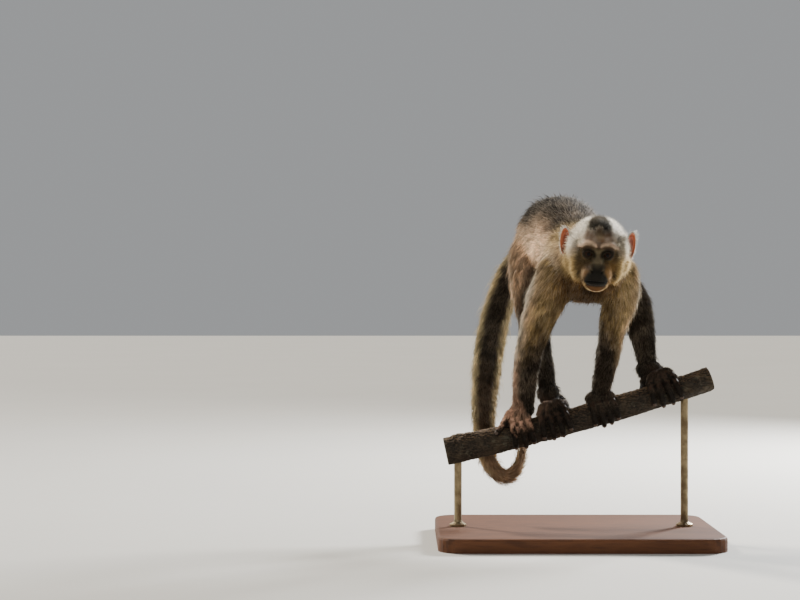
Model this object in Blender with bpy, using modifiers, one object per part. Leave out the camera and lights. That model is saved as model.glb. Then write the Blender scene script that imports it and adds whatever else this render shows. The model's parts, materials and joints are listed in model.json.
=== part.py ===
"""A white-fronted capuchin, life size, standing across a cut length of branch on a plain display stand.

The animal faces -Y. +X is its own left and +Z is up. The origin is the middle of the stand's underside.
The solids reach out to the tips of the coat. The whole animal is modelled as one form, from tapering
tubes and rounded masses blended by a voxel remesh, and is then parted by thin cuts at its joints.
"""

import math

import bmesh
import bpy
from mathutils import Euler, Matrix, Vector

# Sizes in metres unless a name says otherwise.
FIT_GAP = 0.0003  # between pieces that touch

# The perch: a slightly bowed branch that climbs to the animal's left. A knot is (x, degrees round, height).
PERCH_LEFT, PERCH_RIGHT = -0.168, 0.176
PERCH_HEIGHT, PERCH_SLOPE, PERCH_BOW = 0.156, 0.275, 0.18
PERCH_RADIUS, PERCH_TAPER = 0.0165, 0.007
PERCH_RINGS, PERCH_SIDES = 20, 14
PERCH_OVERRUN = 0.010  # of the form that cuts what the perch touches
KNOT_REACH = 0.011
PERCH_KNOTS = [(-0.150, 40.0, 0.0030), (-0.030, -120.0, 0.0022), (0.045, 15.0, 0.0026), (0.155, 80.0, 0.0030)]

# The stand: a rounded plate, and two turned rods up to the perch.
BASE_WIDTH, BASE_DEPTH, BASE_HEIGHT = 0.36, 0.27, 0.018
BASE_CORNER, BASE_CORNER_SEGMENTS, BASE_BEVEL = 0.030, 5, 0.003
ROD_RADIUS, ROD_FOOT_RADIUS, ROD_FOOT_HEIGHT, ROD_SIDES = 0.005, 0.011, 0.003, 16
ROD_PLACES = {"stand_rod_right": -0.152, "stand_rod_left": 0.142}

# Joints of the body, and the coat's outer radius at each.
TRUNK = [
    ((-0.014, 0.168, 0.378), 0.0440),
    ((-0.012, 0.132, 0.390), 0.0600),
    ((-0.009, 0.085, 0.3930), 0.0560),
    ((-0.002, 0.030, 0.379), 0.0525),
    ((0.007, -0.030, 0.360), 0.0530),
    ((0.012, -0.068, 0.3585), 0.0500),
    ((0.0155, -0.100, 0.368), 0.0420),
]
ARMS = {
    "right": [
        ((-0.020, -0.050, 0.347), 0.0320),
        ((-0.032, -0.062, 0.332), 0.0290),
        ((-0.0560, -0.036, 0.268), 0.0210),
        ((-0.0630, -0.022, 0.235), 0.0192),
        ((-0.0668, -0.006, 0.187), 0.0168),
        ((-0.0675, 0.000, 0.172), 0.0160),
    ],
    "left": [
        ((0.036, -0.050, 0.350), 0.0320),
        ((0.0485, -0.062, 0.336), 0.0285),
        ((0.0450, -0.036, 0.276), 0.0195),
        ((0.0405, -0.022, 0.240), 0.0172),
        ((0.0340, -0.006, 0.200), 0.0145),
        ((0.0330, 0.000, 0.186), 0.0145),
    ],
}
LEGS = {
    "right": [
        ((-0.037, 0.122, 0.375), 0.0410),
        ((-0.044, 0.095, 0.345), 0.0385),
        ((-0.051, 0.034, 0.283), 0.0230),
        ((-0.048, 0.030, 0.256), 0.0205),
        ((-0.037, 0.022, 0.212), 0.0150),
        ((-0.033, 0.018, 0.190), 0.0140),
    ],
    "left": [
        ((0.010, 0.118, 0.375), 0.0410),
        ((0.037, 0.085, 0.350), 0.0360),
        ((0.0835, 0.034, 0.304), 0.0225),
        ((0.0880, 0.030, 0.280), 0.0205),
        ((0.0950, 0.022, 0.240), 0.0155),
        ((0.0970, 0.018, 0.221), 0.0145),
    ],
}
TAIL = [
    ((-0.014, 0.170, 0.380), 0.0265),
    ((-0.028, 0.200, 0.382), 0.0235),
    ((-0.050, 0.215, 0.371), 0.0230),
    ((-0.0705, 0.214, 0.345), 0.0225),
    ((-0.0895, 0.197, 0.299), 0.0225),
    ((-0.1020, 0.168, 0.250), 0.0230),
    ((-0.1095, 0.128, 0.205), 0.0211),
    ((-0.1143, 0.090, 0.162), 0.0182),
    ((-0.1135, 0.060, 0.119), 0.0155),
    ((-0.1050, 0.040, 0.0905), 0.0130),
    ((-0.0875, 0.028, 0.0800), 0.0118),
    ((-0.0725, 0.024, 0.0935), 0.0100),
    ((-0.0668, 0.029, 0.1150), 0.0085),
    ((-0.0655, 0.036, 0.1330), 0.0065),
]

# The head, in its own axes: x to the animal's left, y forward along the gaze, z up, in millimetres.
HEAD_PLACE = (0.0170, -0.123, 0.3785)
HEAD_PITCH, HEAD_YAW, HEAD_ROLL = 15.0, -4.0, -4.2  # degrees: nose down, face to its right, crown to its left
HEAD_MASSES = {  # middle, half sizes, pitch in degrees
    "cranium": ((0, -5, 4.5), (33.5, 40, 31.5), 0),
    "temple": ((26, -5, -4), (12, 24, 22), 0),
    "brow": ((0, 22, 6), (26, 12, 9), 0),
    "cheek": ((15, 10, -22), (18, 18, 25), 0),
    "ruff": ((24, -4, -18), (19, 17, 24), 0),
    "muzzle": ((0, 29, -28), (18.5, 19, 16.5), -8),
    "nose": ((0, 34.5, -14.5), (6.2, 7.6, 16.5), 26),
    "jaw": ((0, 21, -41.0), (18, 18, 13), -8),
    "throat": ((0, -12, -20), (30, 28, 26), 0),
}
PAIRED_MASSES = ("temple", "cheek", "ruff")
EYE_PLACE, EYE_RADIUS = (11.1, 23.2, -4.0), 7.6
EAR_PLACE, EAR_HALF, EAR_TURN = (41.0, -9.2, 0.6), (4.2, 10.5, 17.0), 33.0
EAR_HOLLOW, EAR_HOLLOW_SHIFT = 0.80, 2.6

# Hands and feet grip the perch. A digit is (offset along the perch in mm, splay in mm, last angle round it).
DIGIT_RADIUS, DIGIT_TIP = 0.0050, 0.0040
DIGIT_PRESS = 0.9  # share of a digit's radius by which its middle clears the perch
KNUCKLE_ANGLE, KNUCKLE_SWELL, KNUCKLE_RISE, DIGIT_STATIONS = 30.0, 1.15, 0.0012, 6
FINGERS = {
    "right": [(-15.0, -13.5, 62.0), (-5.6, -3.0, 130.0), (4.2, 0.0, 138.0), (13.5, 1.5, 126.0)],
    "left": [(-12.4, -2.5, 122.0), (-4.3, -1.0, 136.0), (4.0, 0.5, 140.0), (12.0, 3.0, 122.0)],
}
TOES = [(-14.5, -3.0, 118.0), (-4.6, -1.0, 132.0), (5.2, 1.5, 130.0), (14.5, 3.0, 112.0)]
HANDS = {"right": -0.0720, "left": 0.0370}
FEET = {"right": -0.0260, "left": 0.1160}
PALM_RADIUS, SOLE_RADIUS = 0.0078, 0.0084
HEEL_BACK, HEEL_RISE, HEEL_INWARD, HEEL_RADIUS, INSTEP_RADIUS = 0.027, 0.026, 0.006, 0.0105, 0.0125
OPPOSED_FIRST_ANGLE, OPPOSED_ROOT_SHARE = -12.0, 0.6
THUMB_SHIFT, THUMB_LAST_ANGLE, THUMB_SWELL = 0.017, -105.0, 1.0
BIG_TOE_SHIFT, BIG_TOE_LAST_ANGLE, BIG_TOE_SWELL = 0.026, -95.0, 1.2
PALM_LIFT, PALM_ANGLE, SOLE_ANGLE = 0.004, 8.0, -5.0

# Fineness of the forms.
BODY_VOXEL, BODY_SMOOTHING = 0.004, 14
FINE_VOXEL, FINE_SMOOTHING = 0.0017, 3
BODY_TRIANGLES = 4100
BALL_SEGMENTS, BALL_RINGS = 24, 14
EYE_SEGMENTS, EYE_RINGS = 14, 9
EAR_SEGMENTS, EAR_RINGS = 14, 10

# Thin round cuts that part the body. Each is named for the piece on its outer side, and has
# its middle, the direction out to that piece, and its radius, which passes the skin all round.
CUT_WIDTH, CUT_SIDES = 0.0004, 12
CUTS = {
    "neck": ((0.0125, -0.078, 0.3605), (0.03, -0.90, 0.40), 0.060),
    "head": ((0.0150, -0.096, 0.3625), (0.03, -0.85, 0.50), 0.058),
    "upper_arm_right": ((-0.0450, -0.054, 0.302), (-0.33, 0.35, -0.875), 0.032),
    "forearm_right": ((-0.0566, -0.034, 0.263), (-0.20, 0.30, -0.93), 0.024),
    "hand_right": ((-0.0680, -0.004, 0.180), (-0.05, 0.30, -0.95), 0.018),
    "upper_arm_left": ((0.0475, -0.045, 0.295), (-0.25, 0.35, -0.90), 0.029),
    "forearm_left": ((0.0443, -0.033, 0.270), (-0.12, 0.36, -0.93), 0.022),
    "hand_left": ((0.0342, -0.006, 0.1955), (-0.10, 0.30, -0.93), 0.021),
    "thigh_right": ((-0.0498, 0.067, 0.3195), (-0.10, -0.40, -0.90), 0.039),
    "shank_right": ((-0.0511, 0.035, 0.2805), (0.05, -0.40, -0.90), 0.026),
    "foot_right": ((-0.0347, 0.020, 0.200), (0.20, -0.20, -0.95), 0.017),
    "thigh_left": ((0.0546, 0.064, 0.333), (0.50, -0.45, -0.74), 0.039),
    "shank_left": ((0.0832, 0.033, 0.3013), (0.30, -0.40, -0.87), 0.026),
    "foot_left": ((0.0975, 0.020, 0.231), (0.10, -0.20, -0.95), 0.018),
    "tail_root": ((-0.0225, 0.1915, 0.3815), (-0.40, 0.90, 0.10), 0.042),
    "tail_upper": ((-0.0888, 0.197, 0.299), (-0.30, -0.40, -0.87), 0.026),
    "tail_middle": ((-0.1119, 0.108, 0.1836), (-0.10, -0.65, -0.75), 0.024),
    "tail_lower": ((-0.1108, 0.050, 0.104), (0.25, -0.55, -0.80), 0.018),
    "tail_tip": ((-0.0785, 0.0245, 0.085), (0.90, -0.15, 0.50), 0.014),
}
INNERMOST = "trunk"

# Finishes: base colour, roughness. A piece takes the first whose word is in its name.
FINISHES = {
    "eye_": ((0.020, 0.011, 0.007), 0.08),
    "ear_": ((0.55, 0.25, 0.15), 0.60),
    "head": ((0.55, 0.44, 0.33), 0.80),
    "upper_arm": ((0.50, 0.38, 0.24), 0.85),
    "forearm": ((0.13, 0.075, 0.045), 0.85),
    "hand": ((0.055, 0.032, 0.024), 0.70),
    "foot": ((0.055, 0.032, 0.024), 0.70),
    "thigh": ((0.24, 0.145, 0.08), 0.85),
    "shank": ((0.13, 0.075, 0.045), 0.85),
    "tail": ((0.12, 0.08, 0.055), 0.85),
    "neck": ((0.50, 0.37, 0.22), 0.85),
    "trunk": ((0.26, 0.18, 0.12), 0.85),
    "perch": ((0.10, 0.075, 0.055), 0.90),
    "stand_base": ((0.13, 0.065, 0.035), 0.45),
    "stand_rod": ((0.35, 0.33, 0.30), 0.35),
}
METALLIC_FINISH = "stand_rod"


def clear_scene():
    for obj in list(bpy.data.objects):
        bpy.data.objects.remove(obj)


def new_collection(name):
    collection = bpy.data.collections.new(name)
    bpy.context.scene.collection.children.link(collection)
    return collection


def material(name, colour, roughness, metallic=0.0):
    made = bpy.data.materials.new(name)
    made.use_nodes = True
    shader = made.node_tree.nodes["Principled BSDF"]
    shader.inputs["Base Color"].default_value = (*colour, 1.0)
    shader.inputs["Roughness"].default_value = roughness
    shader.inputs["Metallic"].default_value = metallic
    made.diffuse_color = (*colour, 1.0)
    return made


def object_from(bm, name, collection):
    mesh = bpy.data.meshes.new(name)
    bm.to_mesh(mesh)
    bm.free()
    obj = bpy.data.objects.new(name, mesh)
    collection.objects.link(obj)
    return obj


def evaluated_mesh(obj):
    bpy.context.view_layer.update()
    graph = bpy.context.evaluated_depsgraph_get()
    return bpy.data.meshes.new_from_object(obj.evaluated_get(graph))


def apply_modifiers(obj):
    """Swaps the object's mesh for what its modifiers make of it."""
    made = evaluated_mesh(obj)
    obj.modifiers.clear()
    obj.data = made
    return obj


# ---- the perch's own geometry, which the hands, feet and rods follow


def perch_centre(x):
    return Vector((x, 0.0, PERCH_HEIGHT + PERCH_SLOPE * x + PERCH_BOW * x * x))


def perch_radius(x):
    return PERCH_RADIUS - PERCH_TAPER * x


def perch_frame(x):
    """Directions along, above and in front of the perch at x."""
    along = Vector((1.0, 0.0, PERCH_SLOPE + 2 * PERCH_BOW * x)).normalized()
    front = Vector((0.0, -1.0, 0.0))
    return along, front.cross(along).normalized(), front


def round_perch(x, degrees, off_surface):
    """A point that far off the perch's surface; 0 degrees is above it and 90 in front of it."""
    _, above, front = perch_frame(x)
    angle = math.radians(degrees)
    reach = perch_radius(x) + off_surface
    return perch_centre(x) + reach * (math.cos(angle) * above + math.sin(angle) * front)


def make_perch(name, collection, swell=0.0, overrun=0.0):
    """The branch as a lofted tube with low knots. A swollen one is the cutter for what holds it."""
    bm = bmesh.new()
    rings = []
    for i in range(PERCH_RINGS + 1):
        share = i / PERCH_RINGS
        x = PERCH_LEFT - overrun + share * (PERCH_RIGHT - PERCH_LEFT + 2 * overrun)
        ring = []
        for j in range(PERCH_SIDES):
            degrees = 360.0 * j / PERCH_SIDES
            rise = swell
            for knot_x, knot_degrees, height in PERCH_KNOTS:
                facing = max(0.0, math.cos(math.radians(degrees - knot_degrees)))
                rise += height * facing ** 2 * math.exp(-((x - knot_x) / KNOT_REACH) ** 2)
            ring.append(bm.verts.new(round_perch(x, degrees, rise)))
        rings.append(ring)
    for first, second in zip(rings, rings[1:]):
        for j in range(PERCH_SIDES):
            k = (j + 1) % PERCH_SIDES
            bm.faces.new((first[j], first[k], second[k], second[j]))
    bm.faces.new(list(reversed(rings[0])))
    bm.faces.new(rings[-1])
    bmesh.ops.recalc_face_normals(bm, faces=bm.faces)
    return object_from(bm, name, collection)


# ---- the forms that the animal is blended from


def add_tube(bm, stations, fineness=8):
    """A tapering tube through (place, radius) stations, with a ball at each end."""
    curve = bpy.data.curves.new("tube", "CURVE")
    curve.dimensions = "3D"
    curve.resolution_u = fineness
    curve.bevel_depth = 1.0
    curve.bevel_resolution = 4
    curve.use_fill_caps = True
    spline = curve.splines.new("BEZIER")
    spline.bezier_points.add(len(stations) - 1)
    spline.radius_interpolation = "CARDINAL"
    for point, (place, radius) in zip(spline.bezier_points, stations):
        point.co = place
        point.radius = radius
        point.handle_left_type = point.handle_right_type = "AUTO"
    guide = bpy.data.objects.new("tube", curve)
    bpy.context.scene.collection.objects.link(guide)
    bm.from_mesh(evaluated_mesh(guide))
    bpy.data.objects.remove(guide)
    for place, radius in (stations[0], stations[-1]):
        add_ball(bm, Matrix.Translation(place), (radius,) * 3)


def add_ball(bm, place, half_sizes, segments=BALL_SEGMENTS, rings=BALL_RINGS):
    """A rounded mass, placed and turned by a matrix."""
    ball = bmesh.new()
    shape = place @ Matrix.Diagonal((*half_sizes, 1.0))
    bmesh.ops.create_uvsphere(ball, u_segments=segments, v_segments=rings, radius=1.0, matrix=shape)
    if shape.determinant() < 0:
        bmesh.ops.reverse_faces(ball, faces=ball.faces)
    mesh = bpy.data.meshes.new("ball")
    ball.to_mesh(mesh)
    ball.free()
    bm.from_mesh(mesh)
    bpy.data.meshes.remove(mesh)


def head_matrix():
    """From the head's own millimetres to the model's metres. The gaze is +Y there and -Y here."""
    turn = Euler((math.radians(-HEAD_PITCH), math.radians(HEAD_ROLL), math.radians(180.0 + HEAD_YAW)), "XYZ")
    mirror = Matrix.Diagonal((-1.0, 1.0, 1.0, 1.0))
    return Matrix.Translation(HEAD_PLACE) @ turn.to_matrix().to_4x4() @ mirror @ Matrix.Scale(0.001, 4)


def add_head(bm):
    to_model = head_matrix()
    for name, (middle, half_sizes, pitch) in HEAD_MASSES.items():
        for side in (1, -1) if name in PAIRED_MASSES else (1,):
            place = Matrix.Translation((side * middle[0], middle[1], middle[2]))
            add_ball(bm, to_model @ place @ Matrix.Rotation(math.radians(pitch), 4, "X"), half_sizes)


def ear_matrix(side, shift=0.0):
    """Place and turn of an ear. Each stands out from the head and opens forward."""
    x, y, z = EAR_PLACE
    turn = Matrix.Rotation(math.radians(side * EAR_TURN), 4, "Z")
    return head_matrix() @ Matrix.Translation((side * x, y, z)) @ turn @ Matrix.Translation((side * shift, 0, 0))


def add_digits(bm, x_middle, inward, digits, root, root_radius):
    """Digits that run from the palm or sole over the perch and curl down its front."""
    for offset, splay, last_angle in digits:
        x_knuckle = x_middle + inward * offset * 0.001
        x_tip = x_knuckle + inward * splay * 0.001
        knuckle = round_perch(x_knuckle, KNUCKLE_ANGLE, DIGIT_RADIUS + KNUCKLE_RISE)
        arch = root.lerp(knuckle, 0.55) + Vector((0, 0, PALM_LIFT))
        add_tube(bm, [(root, root_radius), (arch, root_radius * 0.9), (knuckle, DIGIT_RADIUS * KNUCKLE_SWELL)])
        stations = []
        for i in range(DIGIT_STATIONS):
            share = i / (DIGIT_STATIONS - 1)
            radius = DIGIT_RADIUS + (DIGIT_TIP - DIGIT_RADIUS) * share
            angle = KNUCKLE_ANGLE + (last_angle - KNUCKLE_ANGLE) * share
            place = round_perch(x_knuckle + (x_tip - x_knuckle) * share, angle, radius * DIGIT_PRESS)
            stations.append((place, radius))
        add_tube(bm, stations)


def add_opposed_digit(bm, x_middle, inward, shift, last_angle, root, swell):
    """The thumb or big toe, which goes round the back of the perch on the inner side."""
    radius = DIGIT_RADIUS * swell
    x_root = x_middle + inward * shift * OPPOSED_ROOT_SHARE
    x_tip = x_middle + inward * shift
    first = round_perch(x_root, OPPOSED_FIRST_ANGLE, radius + KNUCKLE_RISE)
    stations = [(root, radius * 1.25), (first, radius * 1.2)]
    for share in (0.35, 0.7, 1.0):
        x = x_root + (x_tip - x_root) * share
        angle = OPPOSED_FIRST_ANGLE + (last_angle - OPPOSED_FIRST_ANGLE) * share
        stations.append((round_perch(x, angle, radius * DIGIT_PRESS), radius * (1.15 - 0.3 * share)))
    add_tube(bm, stations)


def add_hand(bm, side):
    inward = 1 if side == "right" else -1
    x = HANDS[side]
    wrist, wrist_radius = ARMS[side][-1]
    wrist = Vector(wrist)
    palm = wrist.lerp(round_perch(x, 0.0, PALM_RADIUS), 0.55)
    on_perch = round_perch(x, PALM_ANGLE, PALM_RADIUS * DIGIT_PRESS)
    add_digits(bm, x, inward, FINGERS[side], palm, PALM_RADIUS)
    add_tube(bm, [(wrist, wrist_radius * 0.86), (palm, PALM_RADIUS * 1.5), (on_perch, PALM_RADIUS)])
    add_opposed_digit(bm, x, inward, THUMB_SHIFT, THUMB_LAST_ANGLE, palm, THUMB_SWELL)


def add_foot(bm, side):
    inward = 1 if side == "right" else -1
    x = FEET[side]
    ankle, ankle_radius = LEGS[side][-1]
    ankle = Vector(ankle)
    sole = round_perch(x, SOLE_ANGLE, SOLE_RADIUS)
    heel = perch_centre(x + inward * HEEL_INWARD) + Vector((0, HEEL_BACK, HEEL_RISE))
    add_digits(bm, x, inward, TOES, sole, SOLE_RADIUS)
    add_tube(bm, [(ankle, ankle_radius), (ankle.lerp(sole, 0.6), INSTEP_RADIUS), (sole, SOLE_RADIUS * 1.15)])
    add_tube(bm, [(heel, HEEL_RADIUS), (heel.lerp(sole, 0.5), HEEL_RADIUS * 1.1), (sole, SOLE_RADIUS * 1.2)])
    add_opposed_digit(bm, x, inward, BIG_TOE_SHIFT, BIG_TOE_LAST_ANGLE, sole, BIG_TOE_SWELL)


def remesh(obj, voxel, smoothing):
    blend = obj.modifiers.new("blend", "REMESH")
    blend.mode = "VOXEL"
    blend.voxel_size = voxel
    smooth = obj.modifiers.new("soften", "SMOOTH")
    smooth.factor = 0.5
    smooth.iterations = smoothing
    return apply_modifiers(obj)


def make_body(helpers):
    """The whole animal in one closed mesh, gripping where the perch will be."""
    bm = bmesh.new()
    add_tube(bm, TRUNK)
    for limbs in (ARMS, LEGS):
        for stations in limbs.values():
            add_tube(bm, stations)
    add_tube(bm, TAIL)
    body = remesh(object_from(bm, "body", helpers), BODY_VOXEL, BODY_SMOOTHING)

    bm = bmesh.new()
    bm.from_mesh(body.data)
    add_head(bm)
    for side in HANDS:
        add_hand(bm, side)
        add_foot(bm, side)
    bm.to_mesh(body.data)
    bm.free()
    remesh(body, FINE_VOXEL, FINE_SMOOTHING)
    thin = body.modifiers.new("thin", "DECIMATE")
    body.data.calc_loop_triangles()
    thin.ratio = BODY_TRIANGLES / len(body.data.loop_triangles)
    return apply_modifiers(body)


# ---- cutting


def cut_away(obj, *cutters):
    """Takes the cutters' forms out of the object."""
    for cutter in cutters:
        cutter.hide_render = True
        cutter.display_type = "WIRE"
        less = obj.modifiers.new("less", "BOOLEAN")
        less.operation = "DIFFERENCE"
        less.solver = "EXACT"
        less.object = cutter
    return apply_modifiers(obj)


def cut_frame(name):
    middle, outward, radius = CUTS[name]
    return Vector(middle), Vector(outward).normalized(), radius


def part_body(body, helpers):
    """Parts the body with the thin round cuts."""
    for name in CUTS:
        middle, outward, radius = cut_frame(name)
        bm = bmesh.new()
        place = Matrix.Translation(middle) @ outward.to_track_quat("Z", "Y").to_matrix().to_4x4()
        bmesh.ops.create_cone(bm, cap_ends=True, segments=CUT_SIDES, radius1=radius, radius2=radius,
                              depth=CUT_WIDTH, matrix=place)
        cut_away(body, object_from(bm, "cut_" + name, helpers))


def piece_name(mesh):
    """The name of the cut whose outer face the piece carries."""
    for name in CUTS:
        middle, outward, radius = cut_frame(name)
        for vertex in mesh.vertices:
            reach = vertex.co - middle
            if abs(reach.dot(outward) - CUT_WIDTH / 2) < CUT_WIDTH / 10 and reach.length < radius:
                return name
    return INNERMOST


def split_pieces(body, collection):
    """Each loose piece of the parted body becomes its own named object."""
    bm = bmesh.new()
    bm.from_mesh(body.data)
    bm.faces.ensure_lookup_table()
    unseen = set(bm.faces)
    pieces = {}
    while unseen:
        island, front = [], [unseen.pop()]
        while front:
            face = front.pop()
            island.append(face)
            for edge in face.edges:
                for other in edge.link_faces:
                    if other in unseen:
                        unseen.remove(other)
                        front.append(other)
        piece = bmesh.new()
        copies = {}
        for face in island:
            for vertex in face.verts:
                if vertex not in copies:
                    copies[vertex] = piece.verts.new(vertex.co)
            piece.faces.new([copies[vertex] for vertex in face.verts])
        obj = object_from(piece, "piece", collection)
        obj.name = piece_name(obj.data)
        pieces[obj.name] = obj
    bm.free()
    bpy.data.objects.remove(body)
    return pieces


# ---- eyes and ears


def make_eye(side, name, collection, swell=0.0):
    x, y, z = EYE_PLACE
    bm = bmesh.new()
    radius = EYE_RADIUS + swell * 1000
    add_ball(bm, head_matrix() @ Matrix.Translation((side * x, y, z)), (radius,) * 3, EYE_SEGMENTS, EYE_RINGS)
    return object_from(bm, name, collection)


def swollen_copy(obj, name, collection, swell):
    """A copy grown along its normals, to cut what rests against the object."""
    grown = bpy.data.objects.new(name, obj.data.copy())
    collection.objects.link(grown)
    for vertex, source in zip(grown.data.vertices, obj.data.vertices):
        vertex.co += source.normal * swell
    return grown


def make_ear(side, name, collection, helpers, head_form):
    """A thin cupped ear that ends where the head's form begins."""
    bm = bmesh.new()
    add_ball(bm, ear_matrix(side), EAR_HALF, EAR_SEGMENTS, EAR_RINGS)
    ear = object_from(bm, name, collection)
    bm = bmesh.new()
    hollow = [half * EAR_HOLLOW for half in EAR_HALF]
    add_ball(bm, ear_matrix(side, EAR_HOLLOW_SHIFT), hollow, EAR_SEGMENTS, EAR_RINGS)
    return cut_away(ear, object_from(bm, "hollow_" + name, helpers), head_form)


# ---- the stand


def make_base(name, collection):
    bm = bmesh.new()
    bmesh.ops.create_cube(bm, size=1.0)
    bmesh.ops.scale(bm, vec=(BASE_WIDTH, BASE_DEPTH, BASE_HEIGHT), verts=bm.verts)
    bmesh.ops.translate(bm, vec=(0, 0, BASE_HEIGHT / 2), verts=bm.verts)
    upright = [edge for edge in bm.edges if abs(edge.verts[0].co.z - edge.verts[1].co.z) > BASE_HEIGHT / 2]
    bmesh.ops.bevel(bm, geom=upright, offset=BASE_CORNER, segments=BASE_CORNER_SEGMENTS, profile=0.5,
                    affect="EDGES")
    rim = [edge for edge in bm.edges if min(vertex.co.z for vertex in edge.verts) > BASE_HEIGHT * 0.9]
    bmesh.ops.bevel(bm, geom=rim, offset=BASE_BEVEL, segments=2, profile=0.5, affect="EDGES")
    return object_from(bm, name, collection)


def make_rod(name, x, collection, perch_form):
    """A turned rod with a wide foot, whose top is cut to the underside of the perch."""
    top = perch_centre(x).z - BASE_HEIGHT
    profile = [
        (0, top),
        (ROD_RADIUS, top),
        (ROD_RADIUS, 3 * ROD_FOOT_HEIGHT),
        (ROD_RADIUS * 1.15, 2 * ROD_FOOT_HEIGHT),
        (ROD_FOOT_RADIUS, ROD_FOOT_HEIGHT),
        (ROD_FOOT_RADIUS, FIT_GAP),
        (0, FIT_GAP),
    ]
    bm = bmesh.new()
    points = [bm.verts.new((radius, 0, height)) for radius, height in profile]
    for first, second in zip(points, points[1:]):
        bm.edges.new((first, second))
    rod = object_from(bm, name, collection)
    turned = rod.modifiers.new("turned", "SCREW")
    turned.steps = turned.render_steps = ROD_SIDES
    turned.use_merge_vertices = True
    turned.merge_threshold = 0.00001
    apply_modifiers(rod)
    rod.data.transform(Matrix.Translation((x, 0, BASE_HEIGHT)))
    return cut_away(rod, perch_form)


def finish(collection):
    """Gives each piece its finish and shades the round ones smooth."""
    made = {}
    for obj in collection.objects:
        word = next(word for word in FINISHES if word in obj.name)
        if word not in made:
            colour, roughness = FINISHES[word]
            made[word] = material(word, colour, roughness, 1.0 if word == METALLIC_FINISH else 0.0)
        obj.data.materials.clear()
        obj.data.materials.append(made[word])
        obj.data.shade_smooth()
        obj.data.set_sharp_from_angle(angle=math.radians(40))


def main():
    clear_scene()
    animal = new_collection("capuchin")
    helpers = new_collection("cutters")
    make_perch("perch_branch", animal)
    perch_form = make_perch("perch_form", helpers, FIT_GAP, PERCH_OVERRUN)

    body = make_body(helpers)
    head_form = swollen_copy(body, "head_form", helpers, FIT_GAP)
    for side, word in ((1, "left"), (-1, "right")):
        make_eye(side, "eye_" + word, animal)
        make_ear(side, "ear_" + word, animal, helpers, head_form)
        cut_away(body, make_eye(side, "socket_" + word, helpers, FIT_GAP))
    cut_away(body, perch_form)
    part_body(body, helpers)
    split_pieces(body, animal)

    make_base("stand_base", animal)
    for name, x in ROD_PLACES.items():
        make_rod(name, x, animal, perch_form)
    finish(animal)


main()
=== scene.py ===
# A white-fronted capuchin, life size, standing across a cut branch on a plain display stand.
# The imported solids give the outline. This script makes the skin, the coat, the face, the bark and
# the finishes.
import json
import math
import time

import bmesh
import bpy
import numpy as np
from mathutils import Euler, Matrix, Vector

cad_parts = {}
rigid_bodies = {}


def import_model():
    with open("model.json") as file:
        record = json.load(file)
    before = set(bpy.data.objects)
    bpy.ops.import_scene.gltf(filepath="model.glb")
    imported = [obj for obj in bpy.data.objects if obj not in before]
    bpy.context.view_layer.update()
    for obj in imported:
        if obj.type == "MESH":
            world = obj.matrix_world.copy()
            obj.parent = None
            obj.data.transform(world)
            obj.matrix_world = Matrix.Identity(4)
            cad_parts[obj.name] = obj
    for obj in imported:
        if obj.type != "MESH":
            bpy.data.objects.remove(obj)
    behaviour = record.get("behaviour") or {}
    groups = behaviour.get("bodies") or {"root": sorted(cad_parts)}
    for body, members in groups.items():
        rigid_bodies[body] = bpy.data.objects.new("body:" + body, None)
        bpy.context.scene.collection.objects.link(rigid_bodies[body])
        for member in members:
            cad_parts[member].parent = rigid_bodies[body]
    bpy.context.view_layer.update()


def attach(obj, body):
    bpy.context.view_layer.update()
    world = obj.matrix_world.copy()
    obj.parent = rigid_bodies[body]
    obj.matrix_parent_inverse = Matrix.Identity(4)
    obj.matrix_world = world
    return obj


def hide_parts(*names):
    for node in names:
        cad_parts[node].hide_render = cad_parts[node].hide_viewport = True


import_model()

started = time.time()
chance = np.random.default_rng(11)


def say(words):
    print(f"{time.time() - started:6.1f} s  {words}")


# The camera is level and looks along +Y.

view = {"lens": 85.0, "place": (-0.22727, -2.4531, 0.31169), "turn": (90.0, 0.0, 0.0)}


def placeCamera():
    cameraData = bpy.data.cameras.new("camera")
    cameraData.lens = view["lens"]
    cameraData.sensor_width = 36.0
    camera = bpy.data.objects.new("camera", cameraData)
    camera.location = view["place"]
    camera.rotation_euler = [math.radians(angle) for angle in view["turn"]]
    bpy.context.scene.collection.objects.link(camera)
    bpy.context.scene.camera = camera


placeCamera()


# Shader sums in plain Python.

class Wire:                                  # a node's output that can take part in sums
    def __init__(self, finish, socket):
        self.finish, self.socket = finish, socket

    def sum(self, operation, other, flipped=False):
        pair = (other, self) if flipped else (self, other)
        return self.finish.node("ShaderNodeMath", {"operation": operation}, {0: pair[0], 1: pair[1]})

    def __add__(self, other):
        return self.sum("ADD", other)

    def __radd__(self, other):
        return self.sum("ADD", other, True)

    def __sub__(self, other):
        return self.sum("SUBTRACT", other)

    def __rsub__(self, other):
        return self.sum("SUBTRACT", other, True)

    def __mul__(self, other):
        return self.sum("MULTIPLY", other)

    def __rmul__(self, other):
        return self.sum("MULTIPLY", other, True)

    def __pow__(self, other):
        return self.sum("POWER", other)


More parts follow.
